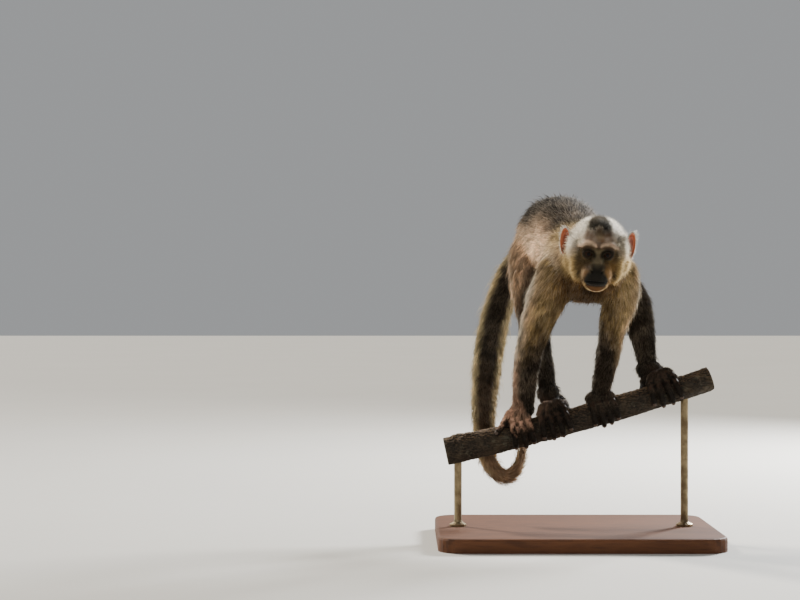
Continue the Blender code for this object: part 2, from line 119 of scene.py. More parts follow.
class Finish:                                # one material while it is being wired up
    def __init__(self, name, **constants):
        self.material = bpy.data.materials.new(name)
        self.material.use_nodes = True
        self.tree = self.material.node_tree
        self.shader = self.tree.nodes["Principled BSDF"]
        for socket, value in constants.items():
            self.shader.inputs[socket.replace("_", " ")].default_value = value

    def node(self, kind, settings=None, inputs=None, output=0):
        made = self.tree.nodes.new(kind)
        for name, value in (settings or {}).items():
            if name == "stops":
                ramp = made.color_ramp
                while len(ramp.elements) < len(value):
                    ramp.elements.new(0.5)
                for element, (place, colour) in zip(ramp.elements, value):
                    element.position = place
                    element.color = (*colour, 1.0)
            else:
                setattr(made, name, value)
        for key, value in (inputs or {}).items():
            self.feed(made.inputs[key], value)
        return Wire(self, made.outputs[output])

    def feed(self, socket, value):
        if isinstance(value, Wire):
            self.tree.links.new(value.socket, socket)
        elif isinstance(value, tuple) and len(value) == 3 and socket.type == "RGBA":
            socket.default_value = (*value, 1.0)
        else:
            socket.default_value = value

    def wear(self, **links):                 # what changes over the surface
        for name, value in links.items():
            self.feed(self.shader.inputs[name.replace("_", " ")], value)
        return self.material

    def mix(self, factor, first, second, blend="MIX"):
        return self.node("ShaderNodeMix", {"data_type": "RGBA", "blend_type": blend},
                         {0: factor, 6: first, 7: second}, 2)

    def noise(self, where, scale, detail=4.0, rough=0.6):
        return self.node("ShaderNodeTexNoise", {}, {"Vector": where, "Scale": scale, "Detail": detail,
                                                    "Roughness": rough})

    def spread(self, value, low, high):      # 0 below low, 1 above high
        return self.node("ShaderNodeMapRange", {"interpolation_type": "SMOOTHSTEP"},
                         {0: value, 1: low, 2: high, 3: 0.0, 4: 1.0})

    def place(self):
        return self.node("ShaderNodeTexCoord", output=3)

    def stretched(self, where, times):
        return self.node("ShaderNodeVectorMath", {"operation": "MULTIPLY"}, {0: where, 1: times})

    def part(self, vector, axis):
        return self.node("ShaderNodeSeparateXYZ", {}, {0: vector}, axis)

    def paint(self, name):                   # a colour kept on the mesh
        return self.node("ShaderNodeAttribute", {"attribute_name": name})

    def bump(self, height, strength, distance):
        return self.node("ShaderNodeBump", {},
                         {"Height": height, "Strength": strength, "Distance": distance})


def rgb(red, green, blue):                   # a screen colour as light
    return tuple(((c / 255 + 0.055) / 1.055) ** 2.4 if c > 10 else c / 255 / 12.92
                 for c in (red, green, blue))


# Small helpers for meshes.

def meshOf(obj):
    bpy.context.view_layer.update()
    return bpy.data.meshes.new_from_object(obj.evaluated_get(bpy.context.evaluated_depsgraph_get()))


def settle(obj):                             # swaps the mesh for what the modifiers make of it
    made = meshOf(obj)
    obj.modifiers.clear()
    obj.data = made
    return obj


def objectFrom(bm, name):
    mesh = bpy.data.meshes.new(name)
    bm.to_mesh(mesh)
    bm.free()
    obj = bpy.data.objects.new(name, mesh)
    bpy.context.scene.collection.objects.link(obj)
    return obj


def mended(obj, within):                     # joins points that meet and turns the faces outward
    bm = bmesh.new()
    bm.from_mesh(obj.data)
    bmesh.ops.remove_doubles(bm, verts=bm.verts, dist=within)
    bmesh.ops.recalc_face_normals(bm, faces=bm.faces)
    bm.to_mesh(obj.data)
    bm.free()
    return obj


def meshFromArrays(name, points, triangles, corners=None, colours=None):
    mesh = bpy.data.meshes.new(name)
    mesh.vertices.add(len(points))
    mesh.vertices.foreach_set("co", points.astype(np.float32).ravel())
    mesh.loops.add(triangles.size)
    mesh.loops.foreach_set("vertex_index", triangles.astype(np.int32).ravel())
    mesh.polygons.add(len(triangles))
    mesh.polygons.foreach_set("loop_start", np.arange(0, triangles.size, 3, dtype=np.int32))
    mesh.polygons.foreach_set("use_smooth", np.ones(len(triangles), bool))
    mesh.update(calc_edges=True)
    if corners is not None:
        mesh.uv_layers.new(name="OFBake").data.foreach_set("uv", corners.astype(np.float32).ravel())
    if colours is not None:
        keepColours(mesh, colours)
    obj = bpy.data.objects.new(name, mesh)
    bpy.context.scene.collection.objects.link(obj)
    return obj


def keepColours(mesh, colours):
    four = np.ones((len(colours), 4), np.float32)
    four[:, :3] = colours
    mesh.color_attributes.new("coatColour", "FLOAT_COLOR", "POINT").data.foreach_set("color", four.ravel())


def pointsOf(mesh):
    points = np.empty(len(mesh.vertices) * 3, np.float32)
    mesh.vertices.foreach_get("co", points)
    return points.reshape(-1, 3).astype(np.float64)


def normalsOf(mesh):
    normals = np.empty(len(mesh.vertices) * 3, np.float32)
    mesh.vertices.foreach_get("normal", normals)
    return normals.reshape(-1, 3).astype(np.float64)


def unit(vectors):
    return vectors / np.maximum(np.linalg.norm(vectors, axis=-1, keepdims=True), 1e-12)


def bell(distance, width):
    return np.exp(-(distance / width) ** 2)


def ramp01(value, low, high):
    share = np.clip((value - low) / (high - low), 0, 1)
    return share * share * (3 - 2 * share)


lattice = chance.random((64, 64, 64)).astype(np.float32)


def wander(points, size):                    # smooth noise between -1 and 1
    grid = points / size
    low = np.floor(grid).astype(int)
    share = grid - low
    share = share * share * (3 - 2 * share)
    total = np.zeros(len(points))
    for corner in range(8):
        offset = np.array([corner & 1, corner >> 1 & 1, corner >> 2 & 1])
        weight = np.prod(np.where(offset, share, 1 - share), axis=1)
        index = (low + offset) % 64
        total += weight * lattice[index[:, 0], index[:, 1], index[:, 2]]
    return total * 2 - 1


def dressed(obj, slot, *finishes):           # rides the frame and wears its finishes
    obj.data.materials.clear()
    for finish in finishes:
        obj.data.materials.append(finish)
    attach(obj, "root")
    return obj


# The body's own lines. A station is a place and the radius out to the tips of the coat.

rig = {
    "trunk": [
        ((-0.014, 0.168, 0.378), 0.0440), ((-0.012, 0.132, 0.390), 0.0600),
        ((-0.009, 0.085, 0.3930), 0.0560), ((-0.002, 0.030, 0.379), 0.0525),
        ((0.007, -0.030, 0.360), 0.0530), ((0.012, -0.068, 0.3585), 0.0500),
        ((0.0155, -0.100, 0.368), 0.0420),
    ],
    "armRight": [
        ((-0.020, -0.050, 0.347), 0.0320), ((-0.032, -0.062, 0.332), 0.0290),
        ((-0.0560, -0.036, 0.268), 0.0210), ((-0.0630, -0.022, 0.235), 0.0192),
        ((-0.0668, -0.006, 0.187), 0.0168), ((-0.0675, 0.000, 0.172), 0.0160),
    ],
    "armLeft": [
        ((0.036, -0.050, 0.350), 0.0320), ((0.0485, -0.062, 0.336), 0.0285),
        ((0.0450, -0.036, 0.276), 0.0195), ((0.0405, -0.022, 0.240), 0.0172),
        ((0.0340, -0.006, 0.200), 0.0145), ((0.0330, 0.000, 0.186), 0.0145),
    ],
    "legRight": [
        ((-0.037, 0.122, 0.375), 0.0410), ((-0.044, 0.095, 0.345), 0.0385),
        ((-0.051, 0.034, 0.283), 0.0230), ((-0.048, 0.030, 0.256), 0.0205),
        ((-0.037, 0.022, 0.212), 0.0150), ((-0.033, 0.018, 0.190), 0.0140),
    ],
    "legLeft": [
        ((0.010, 0.118, 0.375), 0.0410), ((0.037, 0.085, 0.350), 0.0360),
        ((0.0835, 0.034, 0.304), 0.0225), ((0.0880, 0.030, 0.280), 0.0205),
        ((0.0950, 0.022, 0.240), 0.0155), ((0.0970, 0.018, 0.221), 0.0145),
    ],
    "tail": [
        ((-0.014, 0.170, 0.380), 0.0265), ((-0.028, 0.200, 0.382), 0.0235),
        ((-0.050, 0.215, 0.371), 0.0230), ((-0.0705, 0.214, 0.345), 0.0225),
        ((-0.0895, 0.197, 0.299), 0.0225), ((-0.1020, 0.168, 0.250), 0.0230),
        ((-0.1095, 0.128, 0.205), 0.0211), ((-0.1143, 0.090, 0.162), 0.0182),
        ((-0.1135, 0.060, 0.119), 0.0155), ((-0.1050, 0.040, 0.0905), 0.0130),
        ((-0.0875, 0.028, 0.0800), 0.0118), ((-0.0725, 0.024, 0.0935), 0.0100),
        ((-0.0668, 0.029, 0.1150), 0.0085), ((-0.0655, 0.036, 0.1330), 0.0065),
    ],
}

def kindOf(group):                           # "armRight" is of the kind "arm"
    return group.replace("Right", "").replace("Left", "")


# Coat: hair length at the start and end of a line, depth over the skin (a fixed part and a share of the
# radius), lie along the line (1) or against it (-1), and how much it hangs.
coat = {
    "trunk": {"length": (0.0170, 0.0130), "depth": (0.0022, 0.045), "lie": -1, "hang": 0.55},
    "arm": {"length": (0.0150, 0.0068), "depth": (0.0020, 0.045), "lie": 1, "hang": 0.10},
    "leg": {"length": (0.0160, 0.0066), "depth": (0.0020, 0.045), "lie": 1, "hang": 0.15},
    "tail": {"length": (0.0170, 0.0110), "depth": (0.0020, 0.130), "lie": 1, "hang": 0.0},
    "hand": {"length": (0.0080, 0.0026), "depth": (0.0002, 0.01), "lie": 1, "hang": 0.0},
    "foot": {"length": (0.0088, 0.0032), "depth": (0.0002, 0.01), "lie": 1, "hang": 0.0},
}

perch = {
    "left": -0.168, "right": 0.176, "height": 0.156, "slope": 0.275, "bow": 0.18,
    "radius": 0.0165, "taper": 0.007, "knotReach": 0.011,
    "knots": [(-0.150, 40.0, 0.0030), (-0.030, -120.0, 0.0022), (0.045, 15.0, 0.0026),
              (0.155, 80.0, 0.0030)],
    "rings": 330, "sides": 132, "furrow": 0.0017, "crack": 0.0016, "chamfer": 0.0012,
}

grip = {                                     # how the hands and feet hold the perch
    "digit": 0.0050, "tip": 0.0040, "press": 0.9, "knuckleAngle": 30.0, "knuckleSwell": 1.15,
    "knuckleRise": 0.0012, "palm": 0.0078, "palmAngle": 8.0, "sole": 0.0084, "soleAngle": -5.0,
    "firstAngle": -12.0,
    "joints": (1.02, 0.94, 1.05, 0.93, 1.04, 1.0),
    "hands": {"Right": -0.0720, "Left": 0.0370}, "feet": {"Right": -0.0260, "Left": 0.1160},
    "fingers": {
        "Right": [(-15.0, -13.5, 62.0), (-5.6, -3.0, 130.0), (4.2, 0.0, 138.0), (13.5, 1.5, 126.0)],
        "Left": [(-12.4, -2.5, 122.0), (-4.3, -1.0, 136.0), (4.0, 0.5, 140.0), (12.0, 3.0, 122.0)],
    },
    "toes": [(-14.5, -3.0, 118.0), (-4.6, -1.0, 132.0), (5.2, 1.5, 130.0), (14.5, 3.0, 112.0)],
    "thumb": {"shift": 0.017, "last": -105.0, "swell": 1.0},
    "bigToe": {"shift": 0.026, "last": -95.0, "swell": 1.2},
    "heel": {"back": 0.027, "rise": 0.026, "inward": 0.006, "radius": 0.0105, "instep": 0.0125},
}


def perchHeight(x):                          # of its middle line
    return perch["height"] + perch["slope"] * x + perch["bow"] * x ** 2


def perchCentre(x):
    return Vector((x, 0.0, perch["height"] + perch["slope"] * x + perch["bow"] * x * x))


def perchRadius(x):
    return perch["radius"] - perch["taper"] * x


def roundPerch(x, degrees, offSurface):      # 0 degrees is above the perch and 90 in front of it
    along = Vector((1.0, 0.0, perch["slope"] + 2 * perch["bow"] * x)).normalized()
    front = Vector((0.0, -1.0, 0.0))
    above = front.cross(along).normalized()
    angle = math.radians(degrees)
    reach = perchRadius(x) + offSurface
    return perchCentre(x) + reach * (math.cos(angle) * above + math.sin(angle) * front)


def digitTubes(x, inward, digits, root, rootRadius):
    tubes = []
    for offset, splay, lastAngle in digits:
        xKnuckle = x + inward * offset * 0.001
        xTip = xKnuckle + inward * splay * 0.001
        knuckle = roundPerch(xKnuckle, grip["knuckleAngle"], grip["digit"] + grip["knuckleRise"])
        arch = root.lerp(knuckle, 0.55) + Vector((0, 0, 0.004))
        tubes.append([(root, rootRadius), (arch, rootRadius * 0.9),
                      (knuckle, grip["digit"] * grip["knuckleSwell"])])
        stations = []
        for i, joint in enumerate(grip["joints"]):
            share = i / (len(grip["joints"]) - 1)
            radius = (grip["digit"] + (grip["tip"] - grip["digit"]) * share) * joint
            angle = grip["knuckleAngle"] + (lastAngle - grip["knuckleAngle"]) * share
            stations.append((roundPerch(xKnuckle + (xTip - xKnuckle) * share, angle,
                                        radius * grip["press"]), radius))
        tubes.append(stations)
    return tubes


def opposedTube(x, inward, digit, root):
    radius = grip["digit"] * digit["swell"]
    xRoot = x + inward * digit["shift"] * 0.6
    xTip = x + inward * digit["shift"]
    first = grip["firstAngle"]
    knuckle = roundPerch(xRoot, first, radius + grip["knuckleRise"])
    stations = [(root, radius * 1.25), (knuckle, radius * 1.2)]
    for share in (0.35, 0.7, 1.0):
        angle = first + (digit["last"] - first) * share
        place = roundPerch(xRoot + (xTip - xRoot) * share, angle, radius * grip["press"])
        stations.append((place, radius * (1.15 - 0.3 * share)))
    return stations


def handTubes(side):
    inward = 1 if side == "Right" else -1
    x = grip["hands"][side]
    wrist, wristRadius = rig["arm" + side][-1]
    wrist = Vector(wrist)
    palm = wrist.lerp(roundPerch(x, 0.0, grip["palm"]), 0.55)
    onPerch = roundPerch(x, grip["palmAngle"], grip["palm"] * grip["press"])
    tubes = [[(wrist, wristRadius * 0.86), (palm, grip["palm"] * 1.5), (onPerch, grip["palm"])]]
    tubes += digitTubes(x, inward, grip["fingers"][side], palm, grip["palm"])
    return tubes + [opposedTube(x, inward, grip["thumb"], palm)]


def footTubes(side):
    inward = 1 if side == "Right" else -1
    x = grip["feet"][side]
    heelForm = grip["heel"]
    ankle, ankleRadius = rig["leg" + side][-1]
    ankle = Vector(ankle)
    sole = roundPerch(x, grip["soleAngle"], grip["sole"])
    heel = perchCentre(x + inward * heelForm["inward"]) + Vector((0, heelForm["back"], heelForm["rise"]))
    tubes = [
        [(ankle, ankleRadius), (ankle.lerp(sole, 0.6), heelForm["instep"]), (sole, grip["sole"] * 1.15)],
        [(heel, heelForm["radius"]), (heel.lerp(sole, 0.5), heelForm["radius"] * 1.1),
         (sole, grip["sole"] * 1.2)],
    ]
    tubes += digitTubes(x, inward, grip["toes"], sole, grip["sole"])
    return tubes + [opposedTube(x, inward, grip["bigToe"], sole)]


lines = {name: [stations] for name, stations in rig.items()}
for side in ("Right", "Left"):
    lines["hand" + side] = handTubes(side)
    lines["foot" + side] = footTubes(side)


# The head, in its own millimetres: x to the animal's left, y forward along the gaze, z up.
# A mass is its middle, half sizes out to the coat, pitch and the coat's depth there.

headForm = {
    "place": (0.0170, -0.123, 0.3785), "pitch": 15.0, "yaw": -4.0, "roll": -4.2,
    "masses": {
        "cranium": ((0, -5, 4.5), (33.5, 40, 31.5), 0, 4.0),
        "temple": ((26, -5, -4), (12, 24, 22), 0, 3.2),
        "brow": ((0, 22, 6), (26, 12, 9), 0, 1.3),
        "cheek": ((15, 10, -22), (18, 18, 25), 0, 4.0),
        "ruff": ((24, -4, -18), (19, 17, 24), 0, 6.5),
        "muzzle": ((0, 29, -28), (18.5, 19, 16.5), -8, 0.8),
        "nose": ((0, 34.5, -14.5), (6.2, 7.6, 16.5), 26, 0.5),
        "jaw": ((0, 21, -41.0), (18, 18, 13), -8, 2.0),
        "throat": ((0, -12, -20), (30, 28, 26), 0, 4.5),
        "lids": ((11.1, 22.8, -4.0), (8.9, 8.5, 8.6), 0, 0.0),
    },
    "paired": ("temple", "cheek", "ruff", "lids"),
}
eye = {"place": (11.1, 23.2, -4.0), "radius": 7.6, "out": 0.10, "width": 5.3, "above": 3.2, "below": 3.1,
       "iris": 5.3, "pupil": 2.3, "rings": 48, "sides": 64,
       "colours": {"iris": (42, 25, 15), "edge": (34, 20, 13), "white": (44, 31, 26)}}
ear = {
    "place": (41.0, -9.2, 0.6), "half": (4.2, 10.5, 17.0), "turn": 33.0, "bowl": 0.9, "rings": 26,
    "sides": 84,
    "colours": {"skin": (170, 92, 52), "hollow": (116, 50, 28), "low": (56, 34, 24), "rim": (206, 140, 104),
                "behind": (190, 130, 100)},
}


def headMatrix():
    angles = (-headForm["pitch"], headForm["roll"], 180.0 + headForm["yaw"])
    turn = Euler([math.radians(angle) for angle in angles], "XYZ")
    mirror = Matrix.Diagonal((-1.0, 1.0, 1.0, 1.0))
    millimetres = Matrix.Scale(0.001, 4)
    return Matrix.Translation(headForm["place"]) @ turn.to_matrix().to_4x4() @ mirror @ millimetres


toModel = headMatrix()
toHead = np.array(toModel.inverted())


def inHead(points):                          # model metres to the head's millimetres
    return points @ toHead[:3, :3].T + toHead[:3, 3]


def headMasses():
    for name, (middle, half, pitch, inset) in headForm["masses"].items():
        for side in (1, -1) if name in headForm["paired"] else (1,):
            place = Matrix.Translation((side * middle[0], middle[1], middle[2]))
            yield place @ Matrix.Rotation(math.radians(pitch), 4, "X"), [size - inset for size in half]


# The skin: tubes and rounded masses melted together, then worked over.

def addBall(bm, place, half, segments=32, rings=20):
    ball = bmesh.new()
    shape = place @ Matrix.Diagonal((*half, 1.0))
    bmesh.ops.create_uvsphere(ball, u_segments=segments, v_segments=rings, radius=1.0, matrix=shape)
    if shape.determinant() < 0:
        bmesh.ops.reverse_faces(ball, faces=ball.faces)
    mesh = bpy.data.meshes.new("ball")
    ball.to_mesh(mesh)
    ball.free()
    bm.from_mesh(mesh)
    bpy.data.meshes.remove(mesh)


def addTube(bm, stations, depth):            # a tube that lies under the coat by its depth
    curve = bpy.data.curves.new("tube", "CURVE")
    curve.dimensions = "3D"
    curve.resolution_u = 8
    curve.bevel_depth = 1.0
    curve.bevel_resolution = 5
    curve.use_fill_caps = True
    spline = curve.splines.new("BEZIER")
    spline.bezier_points.add(len(stations) - 1)
    spline.radius_interpolation = "CARDINAL"
    thin = [(place, radius - depth[0] - depth[1] * radius) for place, radius in stations]
    for point, (place, radius) in zip(spline.bezier_points, thin):
        point.co = place
        point.radius = radius
        point.handle_left_type = point.handle_right_type = "AUTO"
    guide = bpy.data.objects.new("tube", curve)
    bpy.context.scene.collection.objects.link(guide)
    bm.from_mesh(meshOf(guide))
    bpy.data.objects.remove(guide)
    for place, radius in (thin[0], thin[-1]):
        addBall(bm, Matrix.Translation(place), (radius,) * 3)


def melt(obj, voxel, smoothing):
    blend = obj.modifiers.new("blend", "REMESH")
    blend.mode = "VOXEL"
    blend.voxel_size = voxel
    soften = obj.modifiers.new("soften", "SMOOTH")
    soften.factor = 0.5
    soften.iterations = smoothing
    return settle(obj)


fineness = {"bodyVoxel": 0.004, "bodySmooth": 14, "voxel": 0.00147, "smooth": 2, "ruffSmooth": 26,
            "faceFront": 2.0}


def smoothRuff(body):                        # one soft form behind the face, down to the neck
    q = inHead(pointsOf(body.data))
    behind = (q[:, 1] < 32) & (q[:, 1] > -50) & (q[:, 2] < 28) & (q[:, 2] > -60) & (np.abs(q[:, 0]) < 55)
    inFace = (np.abs(q[:, 0]) < 20.5) & (q[:, 1] > 14)
    soft = body.vertex_groups.new(name="soft")
    soft.add(np.flatnonzero(behind & ~inFace).tolist(), 1.0, "REPLACE")
    soften = body.modifiers.new("soften", "SMOOTH")
    soften.vertex_group = "soft"
    soften.factor = 0.5
    soften.iterations = fineness["ruffSmooth"]
    settle(body)


def makeSkin():
    bm = bmesh.new()
    for name in rig:
        addTube(bm, rig[name], coat[kindOf(name)]["depth"])
    body = melt(objectFrom(bm, "skin"), fineness["bodyVoxel"], fineness["bodySmooth"])
    bm = bmesh.new()
    bm.from_mesh(body.data)
    for place, half in headMasses():
        addBall(bm, toModel @ place, half)
    for name in lines:
        if name not in rig:
            for stations in lines[name]:
                addTube(bm, stations, coat[kindOf(name)]["depth"])
    bm.to_mesh(body.data)
    bm.free()
    melt(body, fineness["voxel"], fineness["smooth"])
    smoothRuff(body)
    bm = bmesh.new()                         # the face gets twice as fine a mesh
    bm.from_mesh(body.data)
    bm.verts.ensure_lookup_table()
    near = inHead(pointsOf(body.data))
    fine = ((near[:, 1] > fineness["faceFront"]) & (np.abs(near[:, 0]) < 30) & (near[:, 2] < 22)
            & (near[:, 2] > -52))
    edges = [edge for edge in bm.edges if fine[edge.verts[0].index] and fine[edge.verts[1].index]]
    bmesh.ops.subdivide_edges(bm, edges=edges, cuts=1, use_grid_fill=True)
    bm.to_mesh(body.data)
    bm.free()
    return body


face = {"mouth": -34.8, "mouthHalf": 15.0, "nostril": (6.4, -22.0), "ring": (17.2, -30.6, 20.6)}


def ringFar(ax, z):                          # 1 on the pale line round the muzzle and chin
    wide, middle, tall = face["ring"]
    return np.hypot(ax / wide, (z - middle) / tall)


def foldAt(z):                               # how far out the fold beside the muzzle runs
    wide, middle, tall = face["ring"]
    return wide * np.sqrt(np.clip(1 - ((z - middle) / tall) ** 2, 0.06, 1))


def browAt(ax):                              # height of the pale arch over each eye
    return 10.2 - 3.6 * bell(ax, 5.5) - 0.082 * np.maximum(ax - 12.5, 0) ** 2


def mouthAt(ax):
    return face["mouth"] - 0.0075 * ax ** 2


def sculptFace(mesh):                        # eyelids, brow, nose, mouth and the folds beside it
    points, normals = pointsOf(mesh), normalsOf(mesh)
    q = inHead(points)
    for side in (1, -1):
        centre = np.array((side * eye["place"][0], eye["place"][1], eye["place"][2]))
        ahead = unit(np.array((side * eye["out"], 1.0, -0.02)))
        away = unit(np.array((side, -eye["out"], 0.0)))
        rise = np.cross(away, ahead) * side
        reach = q - centre
        depth = np.linalg.norm(reach, axis=1)
        ray = reach / depth[:, None]
        forward, across, up = ray @ ahead, ray @ away, ray @ rise
        near = (forward > 0.25) & (depth < 16)
        x = eye["radius"] * np.arctan2(across, np.maximum(forward, 0.05))
        z = eye["radius"] * np.arctan2(up, np.maximum(forward, 0.05)) + 0.09 * -x
        tall = np.where(z > 0, eye["above"], eye["below"])
        gap = ((np.abs(x / eye["width"]) ** 1.9 + np.abs(z / tall) ** 1.9) ** (1 / 1.9) - 1) * 3.6
        lid = 6.0 + 2.25 * ramp01(gap, -0.75, 0.15) + 0.55 * ramp01(gap, 0.0, 0.9)
        lid += 0.35 * bell(gap - 0.9, 0.7) - 0.55 * bell(gap - 2.7, 0.7) * ramp01(z, -1.0, 2.0)
        lid -= 0.30 * bell(gap - 2.3, 0.6) * ramp01(-z, 0.0, 2.0)
        share = np.where(near, 1 - ramp01(gap, 2.2, 5.2), 0.0) * ramp01(side * q[:, 0], 1.5, 5.0)
        depth2 = depth + share * (lid - depth)
        q = centre + ray * depth2[:, None]
    # fills the nose's top
    bridge = ramp01(q[:, 2], -10, -5) * (1 - ramp01(q[:, 2], 3, 8)) * (q[:, 1] > 18)
    q[:, 1] += bridge * np.maximum(33.5 - 0.14 * q[:, 0] ** 2 - q[:, 1], 0)
    points = q @ np.array(toModel)[:3, :3].T + np.array(toModel)[:3, 3]
    ax, y, z = np.abs(q[:, 0]), q[:, 1], q[:, 2]
    front = ramp01(y, 20, 27)
    eyeFar = ramp01(np.hypot(ax - eye["place"][0], z - eye["place"][2]), 6.5, 9.5)
    mouthLine = mouthAt(ax)
    inMouth = front * (1 - ramp01(ax, face["mouthHalf"] - 2.5, face["mouthHalf"] + 0.5))
    raised = -1.7 * bell(z - mouthLine, 0.85) * inMouth
    raised += (0.55 * bell(z - mouthLine - 2.1, 1.5) + 0.8 * bell(z - mouthLine + 2.3, 1.7)) * inMouth
    sideX, sideZ = face["nostril"]
    # wing of the nose
    raised += 1.5 * bell(np.hypot(ax - sideX - 0.9, (z - sideZ - 2.2) * 0.8), 2.9) * front
    raised += 0.6 * bell(ax, 2.4) * bell(z - sideZ - 1.0, 4.0) * front                          # its middle
    slot = np.hypot(ax - sideX, (z - sideZ - 0.5 * (ax - sideX)) * 1.35)
    raised -= 3.2 * bell(slot, 1.5) * ramp01(y, 34, 38)
    # groove to the lip
    raised -= 0.5 * bell(ax, 0.8) * front * ramp01(z, -34, -30) * (1 - ramp01(z, -26, -23))
    foldX = foldAt(z)
    inFold = ramp01(z, -38, -33) * (1 - ramp01(z, -14, -11)) * front
    raised += (0.9 * bell(ax - foldX, 1.4) - 0.9 * bell(ax - foldX - 2.4, 1.1)
               + 0.5 * bell(ax - foldX - 4.4, 1.2)
               - 0.5 * bell(ax - foldX - 6.4, 1.0)) * inFold
    raised += 1.3 * bell(z - browAt(ax) + 0.3, 2.2) * ramp01(y, 10, 20) * bell(ax - 13, 11)    # brow
    # hollow under it
    raised -= 0.8 * bell(z - browAt(ax) + 4.5, 2.0) * ramp01(y, 14, 22) * bell(ax - 13, 8)
    raised -= 0.7 * bell(ax - 1.6, 1.0) * front * ramp01(z, -3, 1) * (1 - ramp01(z, 7, 11))    # frown
    raised += 0.16 * wander(q, 2.1) * front + 0.3 * wander(q + 40, 6.0) * front
    points += normals * (raised * eyeFar)[:, None] * 0.001
    mesh.vertices.foreach_set("co", points.astype(np.float32).ravel())
    mesh.update()


creases = {"reach": 0.045, "tailFrom": -0.098}   # height over the perch, and where the tail begins


def wrinkleHands(mesh):                      # creases across the digits and lumps over the joints
    points, normals = pointsOf(mesh), normalsOf(mesh)
    low = points[:, 2] < perchHeight(points[:, 0]) + creases["reach"]
    onTail = points[:, 0] < creases["tailFrom"]
    share = np.where(low & ~onTail, 1.0, 0.0)
    turn = np.arctan2(-points[:, 1], points[:, 2] - perchCentre(0)[2] - perch["slope"] * points[:, 0])
    raised = -0.00018 * bell(np.sin(turn * 13), 0.35) + 0.00022 * wander(points, 0.0022)
    points += normals * (raised * share)[:, None]
    mesh.vertices.foreach_set("co", points.astype(np.float32).ravel())
    mesh.update()


skin = makeSkin()
sculptFace(skin.data)
wrinkleHands(skin.data)
skin.data.shade_smooth()
say(f"skin {len(skin.data.polygons)} faces")


# Where a point is on the body, and how the coat lies there.

groups = list(lines) + ["head"]
headIndex = groups.index("head")


def thickLine(stations, spacing=0.0016):     # a smooth line of samples through the stations
    places = np.array([tuple(place) for place, _ in stations])
    radii = np.array([radius for _, radius in stations])
    padded = np.vstack([2 * places[0] - places[1], places, 2 * places[-1] - places[-2]])
    found, thick = [], []
    for i in range(len(places) - 1):
        a, b, c, d = padded[i:i + 4]
        steps = max(2, int(np.linalg.norm(c - b) / spacing))
        t = np.linspace(0, 1, steps, endpoint=i == len(places) - 2)[:, None]
        found.append(0.5 * (2 * b + (c - a) * t + (2 * a - 5 * b + 4 * c - d) * t ** 2
                            + (3 * b - a - 3 * c + d) * t ** 3))
        thick.append(radii[i] + (radii[i + 1] - radii[i]) * t[:, 0])
    found = np.vstack(found)
    return found, np.concatenate(thick), unit(np.gradient(found, axis=0))


def makeSamples():
    table = {key: [] for key in ("place", "radius", "flow", "length", "share", "tangent")}
    starts = [0]
    for name, tubes in lines.items():
        kind = coat[kindOf(name)]
        for stations in tubes:
            place, radius, tangent = thickLine(stations)
            share = np.linspace(0, 1, len(place))
            # a palm's hair is as long as at the start, and a tip's as at the end
            if name not in rig:
                last = tubes.index(stations) > 0 and len(stations) > 3
                share = share * 0.7 + 0.3 if last else share * 0.3
            table["place"].append(place)
            table["radius"].append(radius)
            table["tangent"].append(tangent)
            table["flow"].append(kind["lie"] * tangent + np.array((0, 0, -kind["hang"])))
            table["length"].append(kind["length"][0] + (kind["length"][1] - kind["length"][0]) * share)
            table["share"].append(share)
        starts.append(starts[-1]
                      + sum(len(rows) for rows in table["place"][len(table["place"]) - len(tubes):]))
    return {key: np.concatenate(rows) for key, rows in table.items()}, starts


samples, sampleStarts = makeSamples()
massInverses = [(np.array(place.inverted()), np.array(half)) for place, half in headMasses()]


def headReach(q):                            # roughly how far outside the head's masses a point is, in mm
    best = np.full(len(q), 1e9)
    for inverse, half in massInverses:
        local = (q @ inverse[:3, :3].T + inverse[:3, 3]) / half
        size = np.linalg.norm(local, axis=1)
        best = np.minimum(best, (size - 1) * half.min())
    return best


# length and thickness of the head's hair, in mm and from 0 to 1
def headCoat(q):
    ax, y, z = np.abs(q[:, 0]), q[:, 1], q[:, 2]
    ahead = ramp01(y, 6, 16)
    maskWide = 23.5 - 5.5 * ramp01(-z, 16, 38)
    inFace = ((1 - ramp01(ax, maskWide - 4, maskWide + 5)) * (1 - ramp01(z, 12, 26)) * ramp01(z, -60, -54)
              * ahead)
    eyeNear = 1 - ramp01(np.hypot((ax - eye["place"][0]) / 1.25, z - eye["place"][2]), 7.0, 10.5)
    muzzleNear = 1 - ramp01(ringFar(ax, z) + 0.010 * np.maximum(-38 - z, 0), 0.78, 0.94)
    bridgeNear = (1 - ramp01(ax, 7, 11)) * (1 - ramp01(z, -6, 2))
    bare = ramp01(y, 16, 22) * np.clip(eyeNear + muzzleNear + bridgeNear, 0, 1)
    length = 8.5 - 5.8 * inFace - 3.0 * ramp01(z, 8, 24) * ramp01(y, -20, 0)
    # cheek fringe
    length += 1.0 * ramp01(ax, 22, 32) * (1 - ramp01(z, -8, 4)) * (1 - ramp01(y, 22, 32))
    # before the ear
    length -= 3.5 * bell(np.linalg.norm(np.stack([ax - 37, y + 4, z], axis=1), axis=1), 13)
    length += 4.0 * ramp01(-y, 8, 30) * (1 - ramp01(z, 0, 20))                                  # nape
    length = length * (1 - 0.78 * bare) + 0.5 * bare
    thick = 1 - 0.30 * inFace - 0.50 * bare
    return length, thick, inFace, bare


